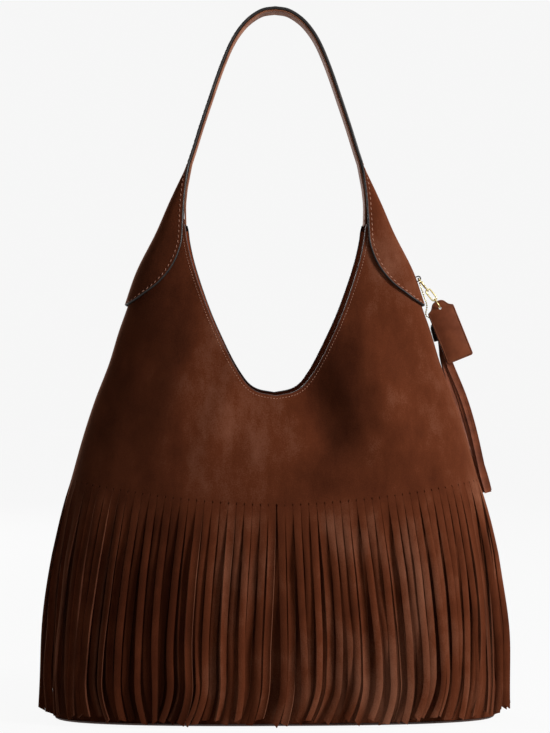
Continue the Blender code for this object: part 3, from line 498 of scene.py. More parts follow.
def suede_look(name, dark, middle, light, sheen=0.32):
    """Brushed suede: soft patches where the nap lies another way, a fine short nap, and painted shade by
    the place across.
    """
    look = Look(name, 0.95, sheen=sheen, specular=0.05, tint=(220, 150, 114))
    patches = look.math("MULTIPLY", look.noise(14.0, 3.0, 0.55), 0.50)
    streaks = look.math("MULTIPLY", look.noise(60.0, 3.0, 0.6, look.stretched(1.0, 1.0, 0.45)), 0.30)
    nap = look.math("MULTIPLY", look.noise(900.0, 2.0, 0.6), 0.20)
    mixed = look.math("ADD", look.math("ADD", patches, streaks), nap)
    # Painted shade by place across: one set of tones for the body and one for the fringe, blended by
    # height
    body, fringe = look.painted_shade_across(PAINTED_SHADE_BODY), look.painted_shade_across(PAINTED_SHADE_FRINGE)
    up = look.share_along("Z", 0.180, 0.210)
    tone = look.math("ADD", fringe, look.math("MULTIPLY", up, look.math("SUBTRACT", body, fringe)))
    value = look.math("ADD", look.mapped(mixed, 0.30, 0.70), tone)
    look.colours(value, (0.0, dark), (0.5, middle), (1.0, light))
    look.bump(look.noise(45.0, 3.0, 0.6), 0.0010, 0.35)
    look.bump(look.noise(1400.0, 3.0, 0.7), 0.00025, 0.7)
    return look.material


def leather_look(name, dark, light, roughness=0.6, grain=700.0, depth=0.00018, specular=0.35):
    """Smooth leather with a fine pebbled grain."""
    look = Look(name, roughness, specular=specular)
    tone = look.mapped(look.noise(50.0, 4.0, 0.6), 0.35, 0.65)
    look.colours(tone, (0.0, dark), (1.0, light))
    look.rough(look.noise(220.0, 3.0), roughness - 0.08, roughness + 0.10)
    look.bump(look.cells(grain), depth, 0.5)
    look.bump(look.noise(90.0, 3.0), 0.0004, 0.3)
    return look.material


def paint_look():
    """Painted leather edges: nearly black, with worn grey places."""
    look = Look("edge_paint", 0.5, specular=0.3)
    wear = look.mapped(look.noise(160.0, 4.0, 0.65), 0.50, 0.74)
    look.colours(wear, (0.0, (13, 9, 8)), (0.6, (28, 21, 18)), (1.0, (58, 49, 44)))
    look.rough(look.noise(320.0, 3.0), 0.32, 0.55)
    look.bump(look.noise(500.0, 3.0), 0.00004, 0.4)
    return look.material


def thread_look():
    look = Look("thread", 0.7, sheen=0.2, specular=0.3)
    tone = look.mapped(look.noise(900.0, 2.0), 0.3, 0.7)
    look.colours(tone, (0.0, (128, 82, 62)), (1.0, (168, 118, 94)))
    look.bump(look.wave(1400.0, "DIAGONAL"), 0.0001, 0.6)
    return look.material


def brass_look():
    look = Look("polished_brass", 0.24, metallic=1.0)
    tone = look.mapped(look.noise(260.0, 3.0), 0.3, 0.7)
    look.colours(tone, (0.0, (178, 160, 106)), (1.0, (216, 202, 152)))
    look.rough(look.noise(700.0, 3.0), 0.17, 0.34)
    look.bump(look.noise(900.0, 2.0), 0.00004, 0.4)
    return look.material


def cloth_look():
    """The lining: a fine plain weave in dark brown."""
    look = Look("woven_lining", 0.85, sheen=0.15, specular=0.2)
    tone = look.mapped(look.noise(40.0, 3.0), 0.35, 0.65)
    look.colours(tone, (0.0, (74, 47, 33)), (1.0, (104, 70, 52)))
    weave = look.math("MULTIPLY", look.wave(560.0, "X", 1.0), look.wave(560.0, "Z", 1.0))
    look.bump(weave, 0.0002, 0.6)
    return look.material


TAN = leather_look("tan_leather", (108, 64, 43), (142, 92, 67), 0.66, depth=0.00006, specular=0.2)
FACING_SUEDE = suede_look("facing_suede", (108, 48, 23), (130, 63, 36), (148, 80, 52), 0.12)
TAG = leather_look("tag_leather", (84, 39, 19), (106, 55, 32), 0.66, 1100.0, 0.00008, 0.10)
STRIPS = leather_look("tassel_leather", (72, 31, 13), (112, 58, 34), 0.52, 1500.0, 0.00003, 0.14)
# Each look: its material, and the record's slot that it belongs to
LOOKS = {
    "suede": (suede_look("brushed_suede", (50, 17, 4), (77, 35, 17), (108, 67, 49)), "suede"),
    "fringe": (suede_look("fringe_suede", (50, 18, 5), (76, 35, 19), (104, 63, 47)), "suede"),
    "raw_edge": (suede_look("cut_edges", (62, 30, 18), (88, 50, 34), (116, 74, 54), 0.1), "suede"),
    "facing": (FACING_SUEDE, "smooth_leather"),
    "tan": (TAN, "tan_leather"),
    "base": (leather_look("base_leather", (48, 26, 18), (70, 40, 28), 0.6), "smooth_leather"),
    "dark": (leather_look("dark_leather", (24, 16, 13), (44, 30, 24), 0.45, 900.0), "dark_leather"),
    "tag": (TAG, "tag_leather"),
    "strips": (STRIPS, "suede"),
    "paint": (paint_look(), "dark_leather"),
    "thread": (thread_look(), "tan_leather"),
    "brass": (brass_look(), "brass"),
    "lining": (cloth_look(), "lining_cloth"),
}


# Building blocks


def from_bmesh(name, bm, look=None):
    """A mesh as an object of the scene, smooth between sharp edges where it has a look."""
    mesh = bpy.data.meshes.new(name)
    bm.to_mesh(mesh)
    bm.free()
    if look:
        mesh.materials.append(LOOKS[look][0])
        smooth(mesh)
    obj = bpy.data.objects.new(name, mesh)
    bpy.context.scene.collection.objects.link(obj)
    return obj


def smooth(mesh):
    mesh.shade_smooth()
    mesh.set_sharp_from_angle(angle=SHARP_ANGLE)


def finish(obj, node=None, body="bag"):
    """Hands a piece to the frame: its body and the CAD node that it stands for."""
    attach(obj, body)
    if node:
        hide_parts(node)


def build(name, bm, look, node=None, body="bag"):
    finish(from_bmesh(name, bm, look), node, body)


def evaluated_mesh(obj):
    graph = bpy.context.evaluated_depsgraph_get()
    return bpy.data.meshes.new_from_object(obj.evaluated_get(graph))


def apply_modifiers(obj):
    """Keeps the shape that the modifiers make and drops the modifiers."""
    mesh = evaluated_mesh(obj)
    old = obj.data
    obj.modifiers.clear()
    obj.data = mesh
    bpy.data.meshes.remove(old)
    mesh.name = obj.name
    smooth(mesh)


def thicken(obj, thickness, offset=-1.0, rim=0):
    """Makes a solid of a sheet; the offset is 1 outwards, -1 inwards and 0 for both ways."""
    shell = obj.modifiers.new("thickness", "SOLIDIFY")
    shell.thickness = thickness
    shell.offset = offset
    shell.material_offset_rim = rim
    apply_modifiers(obj)


def cut_with(obj, cutter, operation="DIFFERENCE"):
    cut = obj.modifiers.new("cut", "BOOLEAN")
    cut.operation = operation
    cut.object = cutter
    cut.solver = "EXACT"
    apply_modifiers(obj)
    bpy.data.objects.remove(cutter)


def grid_faces(bm, grid, flip, closed=False):
    for low, high in zip(grid, grid[1:]):
        for j in range(len(low) if closed else len(low) - 1):
            k = (j + 1) % len(low)
            corners = [low[j], low[k], high[k], high[j]]
            bm.faces.new(corners[::-1] if flip else corners)


def loft(bm, rows, flip=False, closed=False, caps=0):
    """A skin over rows of points, with none, the first or both of its ends closed."""
    grid = [[bm.verts.new(p) for p in row] for row in rows]
    grid_faces(bm, grid, flip, closed)
    for n, ring in enumerate((grid[0], grid[-1])[:caps]):
        bm.faces.new(ring if flip != bool(n) else ring[::-1])
    return grid


def lofted(name, rows, look, **options):
    """A sheet over rows of points, as an object."""
    bm = bmesh.new()
    loft(bm, rows, **options)
    return from_bmesh(name, bm, look)


def recalculate(bm):
    bmesh.ops.recalc_face_normals(bm, faces=bm.faces)


def mouth_line(grow, side, steps=8):
    """The edge of the mouth from end to end, as distances across and heights."""
    half = smooth_path(MOUTH_EDGE, steps)
    line = np.vstack([half[::-1] * (-1, 1), half[1:]])
    along = unit(np.gradient(line, axis=0))
    shift = grow - (BACK_MOUTH_INSET if side == BACK else 0.0)
    return line + np.stack([along[:, 1], -along[:, 0]], axis=-1) * shift


def mouth_cutter(side, grow=0.0):
    """A block with the outline of the mouth, through one side of the bag."""
    line = [tuple(p) for p in mouth_line(grow, side)]
    top = max(z for _, z in line) + 0.2
    outline = [(line[0][0], top), *line, (line[-1][0], top)]
    low, high = (-0.2, 0.0) if side == FRONT else (0.0, 0.2)
    bm = bmesh.new()
    front = [bm.verts.new((x, low, z)) for x, z in outline]
    back = [bm.verts.new((x, high, z)) for x, z in outline]
    bm.faces.new(front)
    bm.faces.new(back[::-1])
    for n in range(len(outline)):
        m = (n + 1) % len(outline)
        bm.faces.new((front[n], back[n], back[m], front[m]))
    recalculate(bm)
    bmesh.ops.triangulate(bm, faces=bm.faces)
    return from_bmesh("mouth_cutter", bm)


def sweep(bm, points, normals, half_out, half_across, sides=10, taper=0.0):
    """A rounded bar along points: half_out along the normals and half_across the other way."""
    points = np.asarray(points, float)
    along = unit(np.gradient(points, axis=0))
    across = unit(np.cross(along, normals))
    square = unit(np.cross(across, along))
    turns = [math.tau * k / sides for k in range(sides)]
    rows = []
    for n, p in enumerate(points):
        size = 1.0
        if taper:
            size = min(1.0, 0.35 + (1 - 0.35) * min(n, len(points) - 1 - n) / taper)
        outs = [square[n] * (math.cos(t) * half_out * size) for t in turns]
        wides = [across[n] * (math.sin(t) * half_across * size) for t in turns]
        rows.append([p + out + wide for out, wide in zip(outs, wides)])
    loft(bm, rows, closed=True, caps=2)


STITCH_INSET = 0.0026
STITCH_START = 0.004
# Rows of stitches: pitch, length, radius of the thread, lift off the surface, slant
MOUTH_STITCH = (0.0027, 0.0018, 0.00026, 0.00002, 0.12)
POCKET_STITCH = (0.0030, 0.0022, 0.00028, 0.0, 0.0)
STRAP_STITCH = (0.0046, 0.0030, 0.00036, -0.00008, 0.22)
# One stitch: where its points lie along it, in lengths, and how high they rise, in radii
STITCH_SPOTS = np.array([-0.5, -0.30, 0.0, 0.30, 0.5])
STITCH_RISE = np.array([-0.9, 0.35, 0.62, 0.35, -0.9])


def stitches(bm, points, normals, kind):
    """A row of thread stitches that lie on a surface along a line."""
    pitch, length, radius, lift, slant = kind
    points, normals = np.asarray(points, float), unit(normals)
    run = run_of(points)
    for n in range(int((run[-1] - length) / pitch) + 1):
        spots = (n + 0.5) * pitch + STITCH_SPOTS * length
        if spots[-1] > run[-1]:
            break
        place, square = sampled(spots, run, points), unit(sampled(spots, run, normals))
        if slant:
            across = unit(np.cross(square[2], unit(place[-1] - place[0])))
            place = place + across * (np.linspace(-0.5, 0.5, 5)[:, None] * length * slant)
        thread = place + square * (STITCH_RISE * radius + lift)[:, None]
        sweep(bm, thread, square, radius * 0.75, radius, 6, 1.2)


def wire(name, points, radius, closed=False, resolution=4):
    """A round brass wire along points, as a mesh."""
    curve = bpy.data.curves.new(name, "CURVE")
    curve.dimensions = "3D"
    curve.bevel_depth = radius
    curve.bevel_resolution = resolution
    curve.use_fill_caps = not closed
    spline = curve.splines.new("POLY")
    spline.points.add(len(points) - 1)
    for spot, p in zip(spline.points, points):
        spot.co = (*p, 1.0)
    spline.use_cyclic_u = closed
    guide = bpy.data.objects.new(name + "_line", curve)
    bpy.context.scene.collection.objects.link(guide)
    bpy.context.view_layer.update()
    mesh = evaluated_mesh(guide)
    bpy.data.objects.remove(guide)
    bpy.data.curves.remove(curve)
    bm = bmesh.new()
    bm.from_mesh(mesh)
    bpy.data.meshes.remove(mesh)
    bmesh.ops.remove_doubles(bm, verts=bm.verts, dist=0.00001)
    recalculate(bm)
    return from_bmesh(name, bm, "brass")


def join(name, objects, look, node=None, body="bag"):
    """Several meshes as one piece."""
    bm = bmesh.new()
    for obj in objects:
        bm.from_mesh(obj.data)
        bpy.data.objects.remove(obj)
    build(name, bm, look, node, body)


def turned(name, profile, spot, axis, look, steps=40):
    """A turned solid: its profile holds radius and distance along the axis, top first."""
    bm = bmesh.new()
    rings = []
    for radius, lift in profile:
        turns = [math.tau * n / steps for n in range(steps if radius > 0 else 1)]
        rings.append([bm.verts.new((radius * math.cos(t), radius * math.sin(t), lift)) for t in turns])
    for upper, lower in zip(rings, rings[1:]):
        for n in range(steps):
            m = (n + 1) % steps
            corners = [upper[n % len(upper)], lower[n % len(lower)]]
            corners += [lower[m % len(lower)], upper[m % len(upper)]]
            corners = list(dict.fromkeys(corners))
            if len(corners) > 2:
                bm.faces.new(corners)
    recalculate(bm)
    turn = Vector((0.0, 0.0, 1.0)).rotation_difference(Vector(axis)).to_matrix().to_4x4()
    bmesh.ops.transform(bm, matrix=Matrix.Translation(Vector(spot)) @ turn, verts=bm.verts)
    return from_bmesh(name, bm, look)


# The suede panels with their fringe


def strand_groups(rng):
    """How far each strand lies from the middle of the small group it hangs in, in strands."""
    shifts = []
    while len(shifts) < STRANDS:
        size = rng.choice((2, 2, 3, 3, 4, 5))
        shifts += [(size - 1) / 2 - n for n in range(size)]
    return shifts[:STRANDS]


def strand_habit(number, side, rng):
    """Where one strand hangs, and its own length, sway, twist, flare, curl and cut."""
    front = side == FRONT
    middle = (STRAND_EDGES[number] + STRAND_EDGES[number + 1]) / 2
    place = float(face(middle, SLIT_HEIGHT, side)[0])
    sideways = abs(math.cos(middle))
    at_seam = smooth_step(sideways, 0.86, 0.95)
    top = float(slit_height(place))
    tip = STRAND_TIP + rng.uniform(0.0006, 0.0056) + 0.003 * sideways**4
    sway = STRAND_SWAY * math.sin(math.tau * number / SWAY_WAVE + (0.0 if front else 1.7))
    sway += rng.uniform(-0.0026, 0.0026)
    if rng.random() < 0.10:
        sway += rng.choice((-1, 1)) * rng.uniform(0.002, 0.005)
    twist = rng.uniform(-16, 16)
    if front and TURNED[0] < place < TURNED[1]:
        twist += rng.uniform(18, 48)
    elif rng.random() < 0.18:
        twist += rng.choice((-1, 1)) * rng.uniform(25, 50)
    if at_seam > 0:
        twist = rng.choice((-1, 1)) * rng.uniform(74, 96) * at_seam
    # At the seams every second strand is set in, so that the strands overlap there
    inner = (number + front) % 2 * at_seam
    flare = STRAND_FLARE + STRAND_SIDE_FLARE * math.cos(middle) ** 2 - 0.0055 * inner
    flare -= 0.0022 * at_seam * (1 - inner)
    knots = TIP_SWEEP if front else [(x, -s * BACK_SWEEP_SHARE) for x, s in TIP_SWEEP]
    return SimpleNamespace(
        middle=middle, place=place, top=top, length=top - tip, sway=sway, twist=twist, flare=flare,
        stagger=STRAND_STAGGER * (number % 2) * (1 - inner) + rng.uniform(-0.0002, 0.0012),
        curl=rng.uniform(-0.0020, 0.0024),
        ripple=rng.uniform(0.0003, 0.0011),
        turns=rng.uniform(1.4, 2.8),
        start=rng.uniform(0, 6.28),
        cup=rng.choice((-1, 1, 1)) * rng.uniform(0.0004, 0.0010),
        sweep=float(smooth_value(knots, place)) * SWEEP_SCALE + rng.uniform(-0.0026, 0.0026),
        cut=rng.uniform(-0.0020, 0.0020),
        reach=(0.26 - 0.16 * smooth_step(abs(place), 0.08, 0.15)) * rng.uniform(0.6, 1.2),
    )


def strand_line(own, side, group):
    """Shares of the length down a strand, the points there, and the strand's three directions."""
    falls = 0.006 + (own.length - 0.006) * (1 - (1 - np.linspace(0, 1, 26)) ** 1.35)
    drops = np.array([drop for drop, _ in HOLE_ROWS] + list(falls))
    v = drops / own.length
    z = own.top - drops
    out = own.flare * np.sin(v * math.pi / 2) ** 1.25 + own.stagger * np.clip((v - 0.03) / 0.3, 0, 1)
    out = out + own.ripple * np.sin(v * own.turns * math.tau + own.start) * v + own.curl * v**4
    centre = skin(own.middle, z, out, side)
    along = unit(skin(own.middle + 0.01, z, out, side) - skin(own.middle - 0.01, z, out, side))
    normal = unit(skin(own.middle, z, out + 0.001, side) - centre)
    bend = np.clip((v - 0.82) / 0.18, 0, 1) ** 1.8
    wander = 0.0007 * np.sin(v * 5.1 + own.start) * v
    sway = own.sway * v**2 - side * group * 0.00085 * np.clip(v / 0.7, 0, 1) ** 1.2
    centre = centre + along * (sway + wander - own.sweep * bend)[:, None]
    down = unit(np.gradient(centre, axis=0))
    turn = math.radians(float(own.twist)) * v**1.1
    edge = along * np.cos(turn)[:, None] + normal * np.sin(turn)[:, None]
    edge = unit(edge - down * np.sum(edge * down, axis=-1, keepdims=True))
    return v, centre, down, edge, np.cross(down, edge) * side


def strand_rows(own, side, group):
    """Rows of points down one strand, five points to a row."""
    v, centre, down, edge, square = strand_line(own, side, group)
    gap = 0.00042 - 0.00012 * smooth_step(abs(own.place), 0.12, 0.16)
    half = STRAND_PITCH / 2 - 0.00004 - gap * np.clip(v / own.reach, 0, 1)
    half[: len(HOLE_ROWS)] -= [narrow for _, narrow in HOLE_ROWS]
    rows = []
    for n in range(len(v)):
        bow = own.cup * min(v[n] * 4, 1)
        slant = own.cut if n == len(v) - 1 else 0.0
        row = [(s, centre[n] + edge[n] * (half[n] * s)) for s in (*STRAND_SHARES, 1.0)]
        rows.append([p + square[n] * (bow * (1 - s * s)) + down[n] * (slant * s) for s, p in row])
    return rows


def seamed(angles, z, out, side):
    """A row of the body's skin from seam to seam, whose ends stay clear of the other side's."""
    row = skin(angles, z, out, side)
    row[[0, -1], 1] = side * GAP / 2
    return row


# The height from which the panel's rows of points lie level
LEVEL = 0.2460


def make_panel(side):
    """The suede of one side: a smooth upper part that runs on into the strands of the fringe."""
    name = NAMES[side]
    rng = random.Random(5 if side == FRONT else 17)
    flip = side == FRONT
    cells = len(STRAND_SHARES)
    shares = np.tile(STRAND_SHARES, STRANDS)
    spans = np.repeat(np.diff(STRAND_EDGES), cells)
    angles = np.repeat(STRAND_EDGES[:-1], cells) + spans * (shares + 1) / 2
    angles = np.append(angles, STRAND_EDGES[-1])
    seam_z = slit_height(face(angles, SLIT_HEIGHT, side)[:, 0])
    first = seam_z + np.where(np.arange(len(angles)) % cells == 0, HOLE_RADIUS * 0.9, 0.0)
    first[[0, -1]] = seam_z[[0, -1]]
    heights = [first, *(seam_z + d for d in (0.0015, *np.linspace(0.005, 0.030, 6)))]
    heights += [(seam_z + 0.030) * (1 - share) + LEVEL * share for share in (0.25, 0.5, 0.75, 1.0)]
    heights += list(np.linspace(LEVEL, ARM_TOP, 56)[1:])
    bm = bmesh.new()
    seam = loft(bm, [seamed(angles, z, 0.0, side) for z in heights], flip)[0]
    for n, group in enumerate(strand_groups(rng)):
        above = seam[cells * n : cells * n + cells + 1]
        for points in strand_rows(strand_habit(n, side, rng), side, group):
            below = [bm.verts.new(p) for p in points]
            grid_faces(bm, [below, above], flip)
            above = below
    panel = from_bmesh(f"{name}_suede", bm, "suede")
    panel.data.materials.append(LOOKS["raw_edge"][0])
    thicken(panel, SUEDE, rim=1)
    cut_with(panel, mouth_cutter(side))
    finish(panel, f"{name}_panel")


def make_wall(side):
    """The lower wall of one side, which the fringe hangs in front of."""
    angles = np.linspace(0, math.pi, 121)
    top = slit_height(face(angles, SLIT_HEIGHT, side)[:, 0]) + 0.012
    heights = [(BASE + GAP) * (1 - share) + top * share for share in np.linspace(0, 1, 30)]
    rows = [seamed(angles, z, -WALL_DEPTH, side) for z in heights]
    wall = lofted(f"{NAMES[side]}_lower_suede", rows, "suede", flip=side == FRONT)
    thicken(wall, WALL)
    finish(wall, f"{NAMES[side]}_wall")


# Strands' widths that the facing ends before each seam, its heights, and where edge and stitches end
FACING_INSET = 3
FACING_HEIGHTS = (0.2600, 0.4300)
EDGE_TOP = 0.4350
STITCH_TOP = 0.4300


def make_facing(side):
    """The band of leather inside the mouth."""
    angles = np.linspace(STRAND_EDGES[FACING_INSET], STRAND_EDGES[-1 - FACING_INSET], 200)
    rows = [skin(angles, z, -WALL_DEPTH, side) for z in np.linspace(*FACING_HEIGHTS, 70)]
    band = lofted(f"{NAMES[side]}_facing_band", rows, "facing", flip=side == FRONT)
    thicken(band, FACING)
    cut_with(band, mouth_cutter(side))
    cut_with(band, mouth_cutter(side, FACING_WIDTH), "INTERSECT")
    finish(band, f"{NAMES[side]}_facing")


def make_mouth_edge(side):
    """The edge of the mouth, over the suede and the facing together, painted black on the back and brown
    leather on the front, and its stitches.
    """
    line = mouth_line(0.0, side, 10)
    line = evenly(line[line[:, 1] < EDGE_TOP], 260)
    depth = (SUEDE + GAP + FACING) / 2
    bm = bmesh.new()
    sweep(bm, *on_face(line, side, -depth), depth + 0.00010, 0.00062, 12)
    build(f"{NAMES[side]}_mouth_edge", bm, "base" if side == FRONT else "paint")
    line = mouth_line(STITCH_INSET, side, 10)
    line = evenly(line[line[:, 1] < STITCH_TOP], 400)
    bm = bmesh.new()
    for out, facing in ((0.0, 1), (-(depth * 2 + 0.00005), -1)):
        points, normals = on_face(line, side, out)
        stitches(bm, points, normals * facing, MOUTH_STITCH)
    build(f"{NAMES[side]}_mouth_stitches", bm, "thread")


SEAM_HEIGHTS = (0.2110, 0.3700)
SEAM_HALF_OUT = 0.00075
SEAM_HALF_ACROSS = 0.00050


def make_side_seams():
    """The bound side seams between the front and the back, from the slits up to the arms."""
    parts = []
    for angle in (0.0, math.pi):
        points = skin(angle, np.linspace(*SEAM_HEIGHTS, 60), np.full(60, -0.0006), FRONT)
        points[:, 1] = 0.0
        bm = bmesh.new()
        normals = np.tile([math.cos(angle), 0.0, 0.0], (60, 1))
        sweep(bm, points, normals, SEAM_HALF_OUT, SEAM_HALF_ACROSS, 8)
        parts.append(from_bmesh("seam", bm, "fringe"))
    join("side_seams", parts, "fringe")


# The inside

LINING_TOP = 0.385
LINING_GATHER = 0.0011
LINING_OVERLAP = 0.007
# The pocket: how many strands' widths it ends before each seam, its heights and its hem
POCKET_INSET = 14
POCKET_HEIGHTS = (0.1197, 0.2242)
POCKET_HEM = 0.2180
SNAP_DROP = 0.0077


def make_lining():
    """The cloth bag inside, a little gathered between its seams."""
    angles = np.linspace(0, math.pi, 121)
    back_angles = angles[::-1][1:-1]
    rows = []
    for z in np.linspace(BASE + GAP, LINING_TOP, 90):
        soft = smooth_step(z, 0.01, 0.06) * (1 - smooth_step(z, 0.22, 0.26))
        front = -LINING_DEPTH - LINING_GATHER * soft * (1 + np.sin(angles * 23 + z * 31))
        back = -LINING_DEPTH - LINING_GATHER * soft * (1 + np.sin(back_angles * 19 - z * 37))
        rows.append(np.vstack([skin(angles, z, front, FRONT), skin(back_angles, z, back, BACK)]))
    lining = lofted("lining_cloth", rows, "lining", flip=True, closed=True, caps=1)
    thicken(lining, LINING)
    for side in (FRONT, BACK):
        cut_with(lining, mouth_cutter(side, FACING_WIDTH - LINING_OVERLAP))
    finish(lining, "lining")


def make_pocket():
    """A slip pocket sewn to the lining of the back, with a row of stitches under its hem."""
    depth = LINING_DEPTH + LINING + 2 * GAP + 2 * LINING_GATHER
    angles = np.linspace(STRAND_EDGES[POCKET_INSET], STRAND_EDGES[-1 - POCKET_INSET], 80)
    rows = [skin(angles, z, -depth, BACK) for z in np.linspace(*POCKET_HEIGHTS, 40)]
    pocket = lofted("slip_pocket", rows, "lining")
    thicken(pocket, POCKET)
    bm = bmesh.new()
    z = np.full(len(angles), POCKET_HEM)
    stitches(bm, skin(angles, z, -depth - POCKET, BACK), -outward(angles, z, BACK), POCKET_STITCH)
    build("pocket_stitches", bm, "thread")
    finish(pocket, "pocket")


SNAP_PROFILE = (
    (0.0, 0.0042), (0.0024, 0.0042), (0.0030, 0.0036), (0.0030, 0.0029), (0.0056, 0.0029),
    (0.0063, 0.0025), (0.0065, 0.0018), (0.0065, 0.0002), (0.0060, 0.0), (0.0, 0.0),
)
# The rim of the base: how far each ring lies inside the wall, and its height
BASE_RIM = (
    (0.0200, 0.0000), (0.0062, 0.0000), (0.0040, 0.0002), (0.0022, 0.0007), (0.0010, 0.0014),
    (0.0004, 0.0024), (0.0200, 0.0024),
)


def make_snaps():
    """The two halves of the magnetic closure, on the facings under the middle of the mouth."""
    depth = SUEDE + GAP + FACING + GAP
    z = np.array(MOUTH_EDGE[0][1] - SNAP_DROP)
    for side in (FRONT, BACK):
        node = f"snap_{NAMES[side]}"
        spot = skin(math.pi / 2, z, -depth, side)
        disc = turned(node + "_disc", SNAP_PROFILE, spot, -outward(math.pi / 2, z, side), "brass", 48)
        finish(disc, node)


def make_base():
    """The oval bottom, with a rounded rim."""
    angles = np.linspace(0, math.pi, 91)
    rows = []
    for inset, z in BASE_RIM:
        depth = -(WALL_DEPTH + inset)
        back = skin(angles[::-1][1:-1], 0.0, depth, BACK)
        ring = np.vstack([skin(angles, 0.0, depth, FRONT), back])
        ring[:, 2] = z
        rows.append(ring)
    bm = bmesh.new()
    loft(bm, rows, True, closed=True, caps=2)
    recalculate(bm)
    build("base_leather", bm, "base", "base_panel")


# The strap


def arch(depth):
    """The strap's line above the arms at a depth under its outer face, and its outward direction."""
    half = evenly(smooth_path(STRAP_LINE, 6), ARCH_STEPS)
    along = unit(np.gradient(half, axis=0))
    along[-1] = (-1.0, 0.0)
    out = np.stack([along[:, 1], -along[:, 0]], axis=-1)
    return half - out * depth, out


def mirrored(rows):
    """Rows of the right half and then those of the left half, from one end to the other."""
    return [*rows, *(np.asarray(row) * (-1, 1, 1) for row in rows[-2::-1])]


def level_row(x, spread, z):
    """A row of points at one place across and one height, spread from front to back."""
    return np.stack([np.full(len(spread), x), spread, np.full(len(spread), z)], axis=-1)


def strap_grid(out, cells=12):
    """Rows of the whole strap, from tip to tip, at a distance outside the body's face."""
    low, high = SPADE_EDGE[0][0], SPADE_EDGE[-1][0]
    rounded = low + SPADE_ROUND * np.linspace(0, 1, 14) ** 1.4
    rows = []
    for z in (*rounded, *np.linspace(low + SPADE_ROUND, high, 46)[1:]):
        edge = float(angle_at(float(smooth_value(SPADE_EDGE, z)), z))
        front = edge * np.linspace(1, 0, cells + 1)
        back = skin(front[::-1][1:], z, np.full(cells, out), BACK)
        rows.append(np.vstack([skin(front, z, np.full(cells + 1, out), FRONT), back]))
    spread = np.linspace(-STRAP_HALF_WIDTH, STRAP_HALF_WIDTH, 2 * cells + 1)
    rows += [level_row(x, spread, z) for x, z in arch(SPADE_GAP + STRAP_LEATHER - out)[0]]
    return mirrored(rows)


def on_surface(points, grid):
    """Points moved onto a grid of rows."""
    bm = bmesh.new()
    loft(bm, grid)
    tree = BVHTree.FromBMesh(bm)
    bm.free()
    return np.array([np.array(tree.find_nearest(Vector(p))[0]) for p in points])


def make_strap():
    """The strap with its flared ends, its painted edges and its stitches."""
    strap = lofted("strap_suede", strap_grid(SPADE_GAP), "suede")
    thicken(strap, STRAP_LEATHER, offset=1.0)
    finish(strap, "strap")

    outer = np.array(strap_grid(SPADE_GAP + STRAP_LEATHER))
    middle = np.array(strap_grid(SPADE_GAP + STRAP_LEATHER / 2))
    normals = -unit(np.cross(np.gradient(outer, axis=0), np.gradient(outer, axis=1)))
    edges, rows = bmesh.new(), bmesh.new()
    for column, beside in ((0, 1), (-1, -2)):
        square = normals[:, column]
        sweep(edges, middle[:, column], square, STRAP_LEATHER / 2 + 0.00012, 0.00085, 12)
        points = outer[:, column] + unit(outer[:, beside] - outer[:, column]) * STITCH_INSET
        run = run_of(points)
        keep = (run > STITCH_START) & (run < run[-1] - STITCH_START)
        stitches(rows, on_surface(points[keep], outer), square[keep], STRAP_STITCH)
    build("strap_edge", edges, "paint")
    build("strap_stitches", rows, "thread")


def make_strap_lining():
    """The pale leather along the inside of the strap, with a tongue down into each arm."""
    half_width = STRAP_HALF_WIDTH - STRAP_LINING_INSET
    spread = np.linspace(-half_width, half_width, 13)
    tongue = [(float(smooth_value(TONGUE, z)), z) for z in np.linspace(TONGUE[0][0], TONGUE_TOP, 16)]
    line = [*tongue, *arch(STRAP_LEATHER + GAP)[0]]
    band = lofted("strap_tan_lining", mirrored([level_row(x, spread, z) for x, z in line]), "tan")
    thicken(band, STRAP_LINING)
    finish(band, "strap_lining")
    bm = bmesh.new()
    line, out = arch(STRAP_LEATHER + GAP + STRAP_LINING / 2 - 0.0001)
    for y in (-half_width, half_width):
        points = mirrored([(x, y, z) for x, z in line])
        normals = mirrored([(x, 0.0, z) for x, z in out])
        sweep(bm, points, normals, STRAP_LINING / 2 + 0.0001, 0.00075, 8)
    build("strap_lining_edge", bm, "tan")


# The charm


def tilted(tilt):
    """The direction down a piece that leans to the right."""
    return Vector((math.sin(tilt), 0.0, -math.cos(tilt)))


def beside(tilt):
    """The direction across a piece that leans to the right."""
    return Vector((math.cos(tilt), 0.0, math.sin(tilt)))


def oval(start, along, across, length, half_width, count=64):
    points = []
    for n in range(count):
        turn = math.tau * (n + 0.5) / count
        shift = half_width if math.cos(turn) < 0 else length - half_width
        ahead = start + along * (shift + half_width * math.cos(turn))
        points.append(ahead + across * (half_width * math.sin(turn)))
    return points


def ring_points(centre, first, second, radius, count=48):
    turns = [math.tau * n / count for n in range(count)]
    return [centre + (first * math.cos(t) + second * math.sin(t)) * radius for t in turns]


def body_reach(height, out):
    return float(skin(0.0, height, out, FRONT)[0])


LOOP_RADIUS = 0.0020
LOOP_LEATHER = 0.0010
# The section of the loop's leather: place across, and share of its thickness
LOOP_SECTION = (
    (-0.0014, 0.25), (-0.0012, 0.5), (0.0012, 0.5), (0.0014, 0.25),
    (0.0014, -0.25), (0.0012, -0.5), (-0.0012, -0.5), (-0.0014, -0.25),
)
NECK_PROFILE = (
    (0.0, 0.0026), (0.0007, 0.0026), (0.0011, 0.0022), (0.0011, 0.0017), (0.0008, 0.0015),
    (0.0008, 0.0010), (0.0012, 0.0008), (0.0013, 0.0003), (0.0009, 0.0), (0.0, 0.0),
)
NUB_PROFILE = (
    (0.0, 0.0016), (0.0005, 0.0016), (0.0008, 0.0013), (0.0008, 0.0009), (0.0005, 0.0007), (0.0005, 0.0),
)


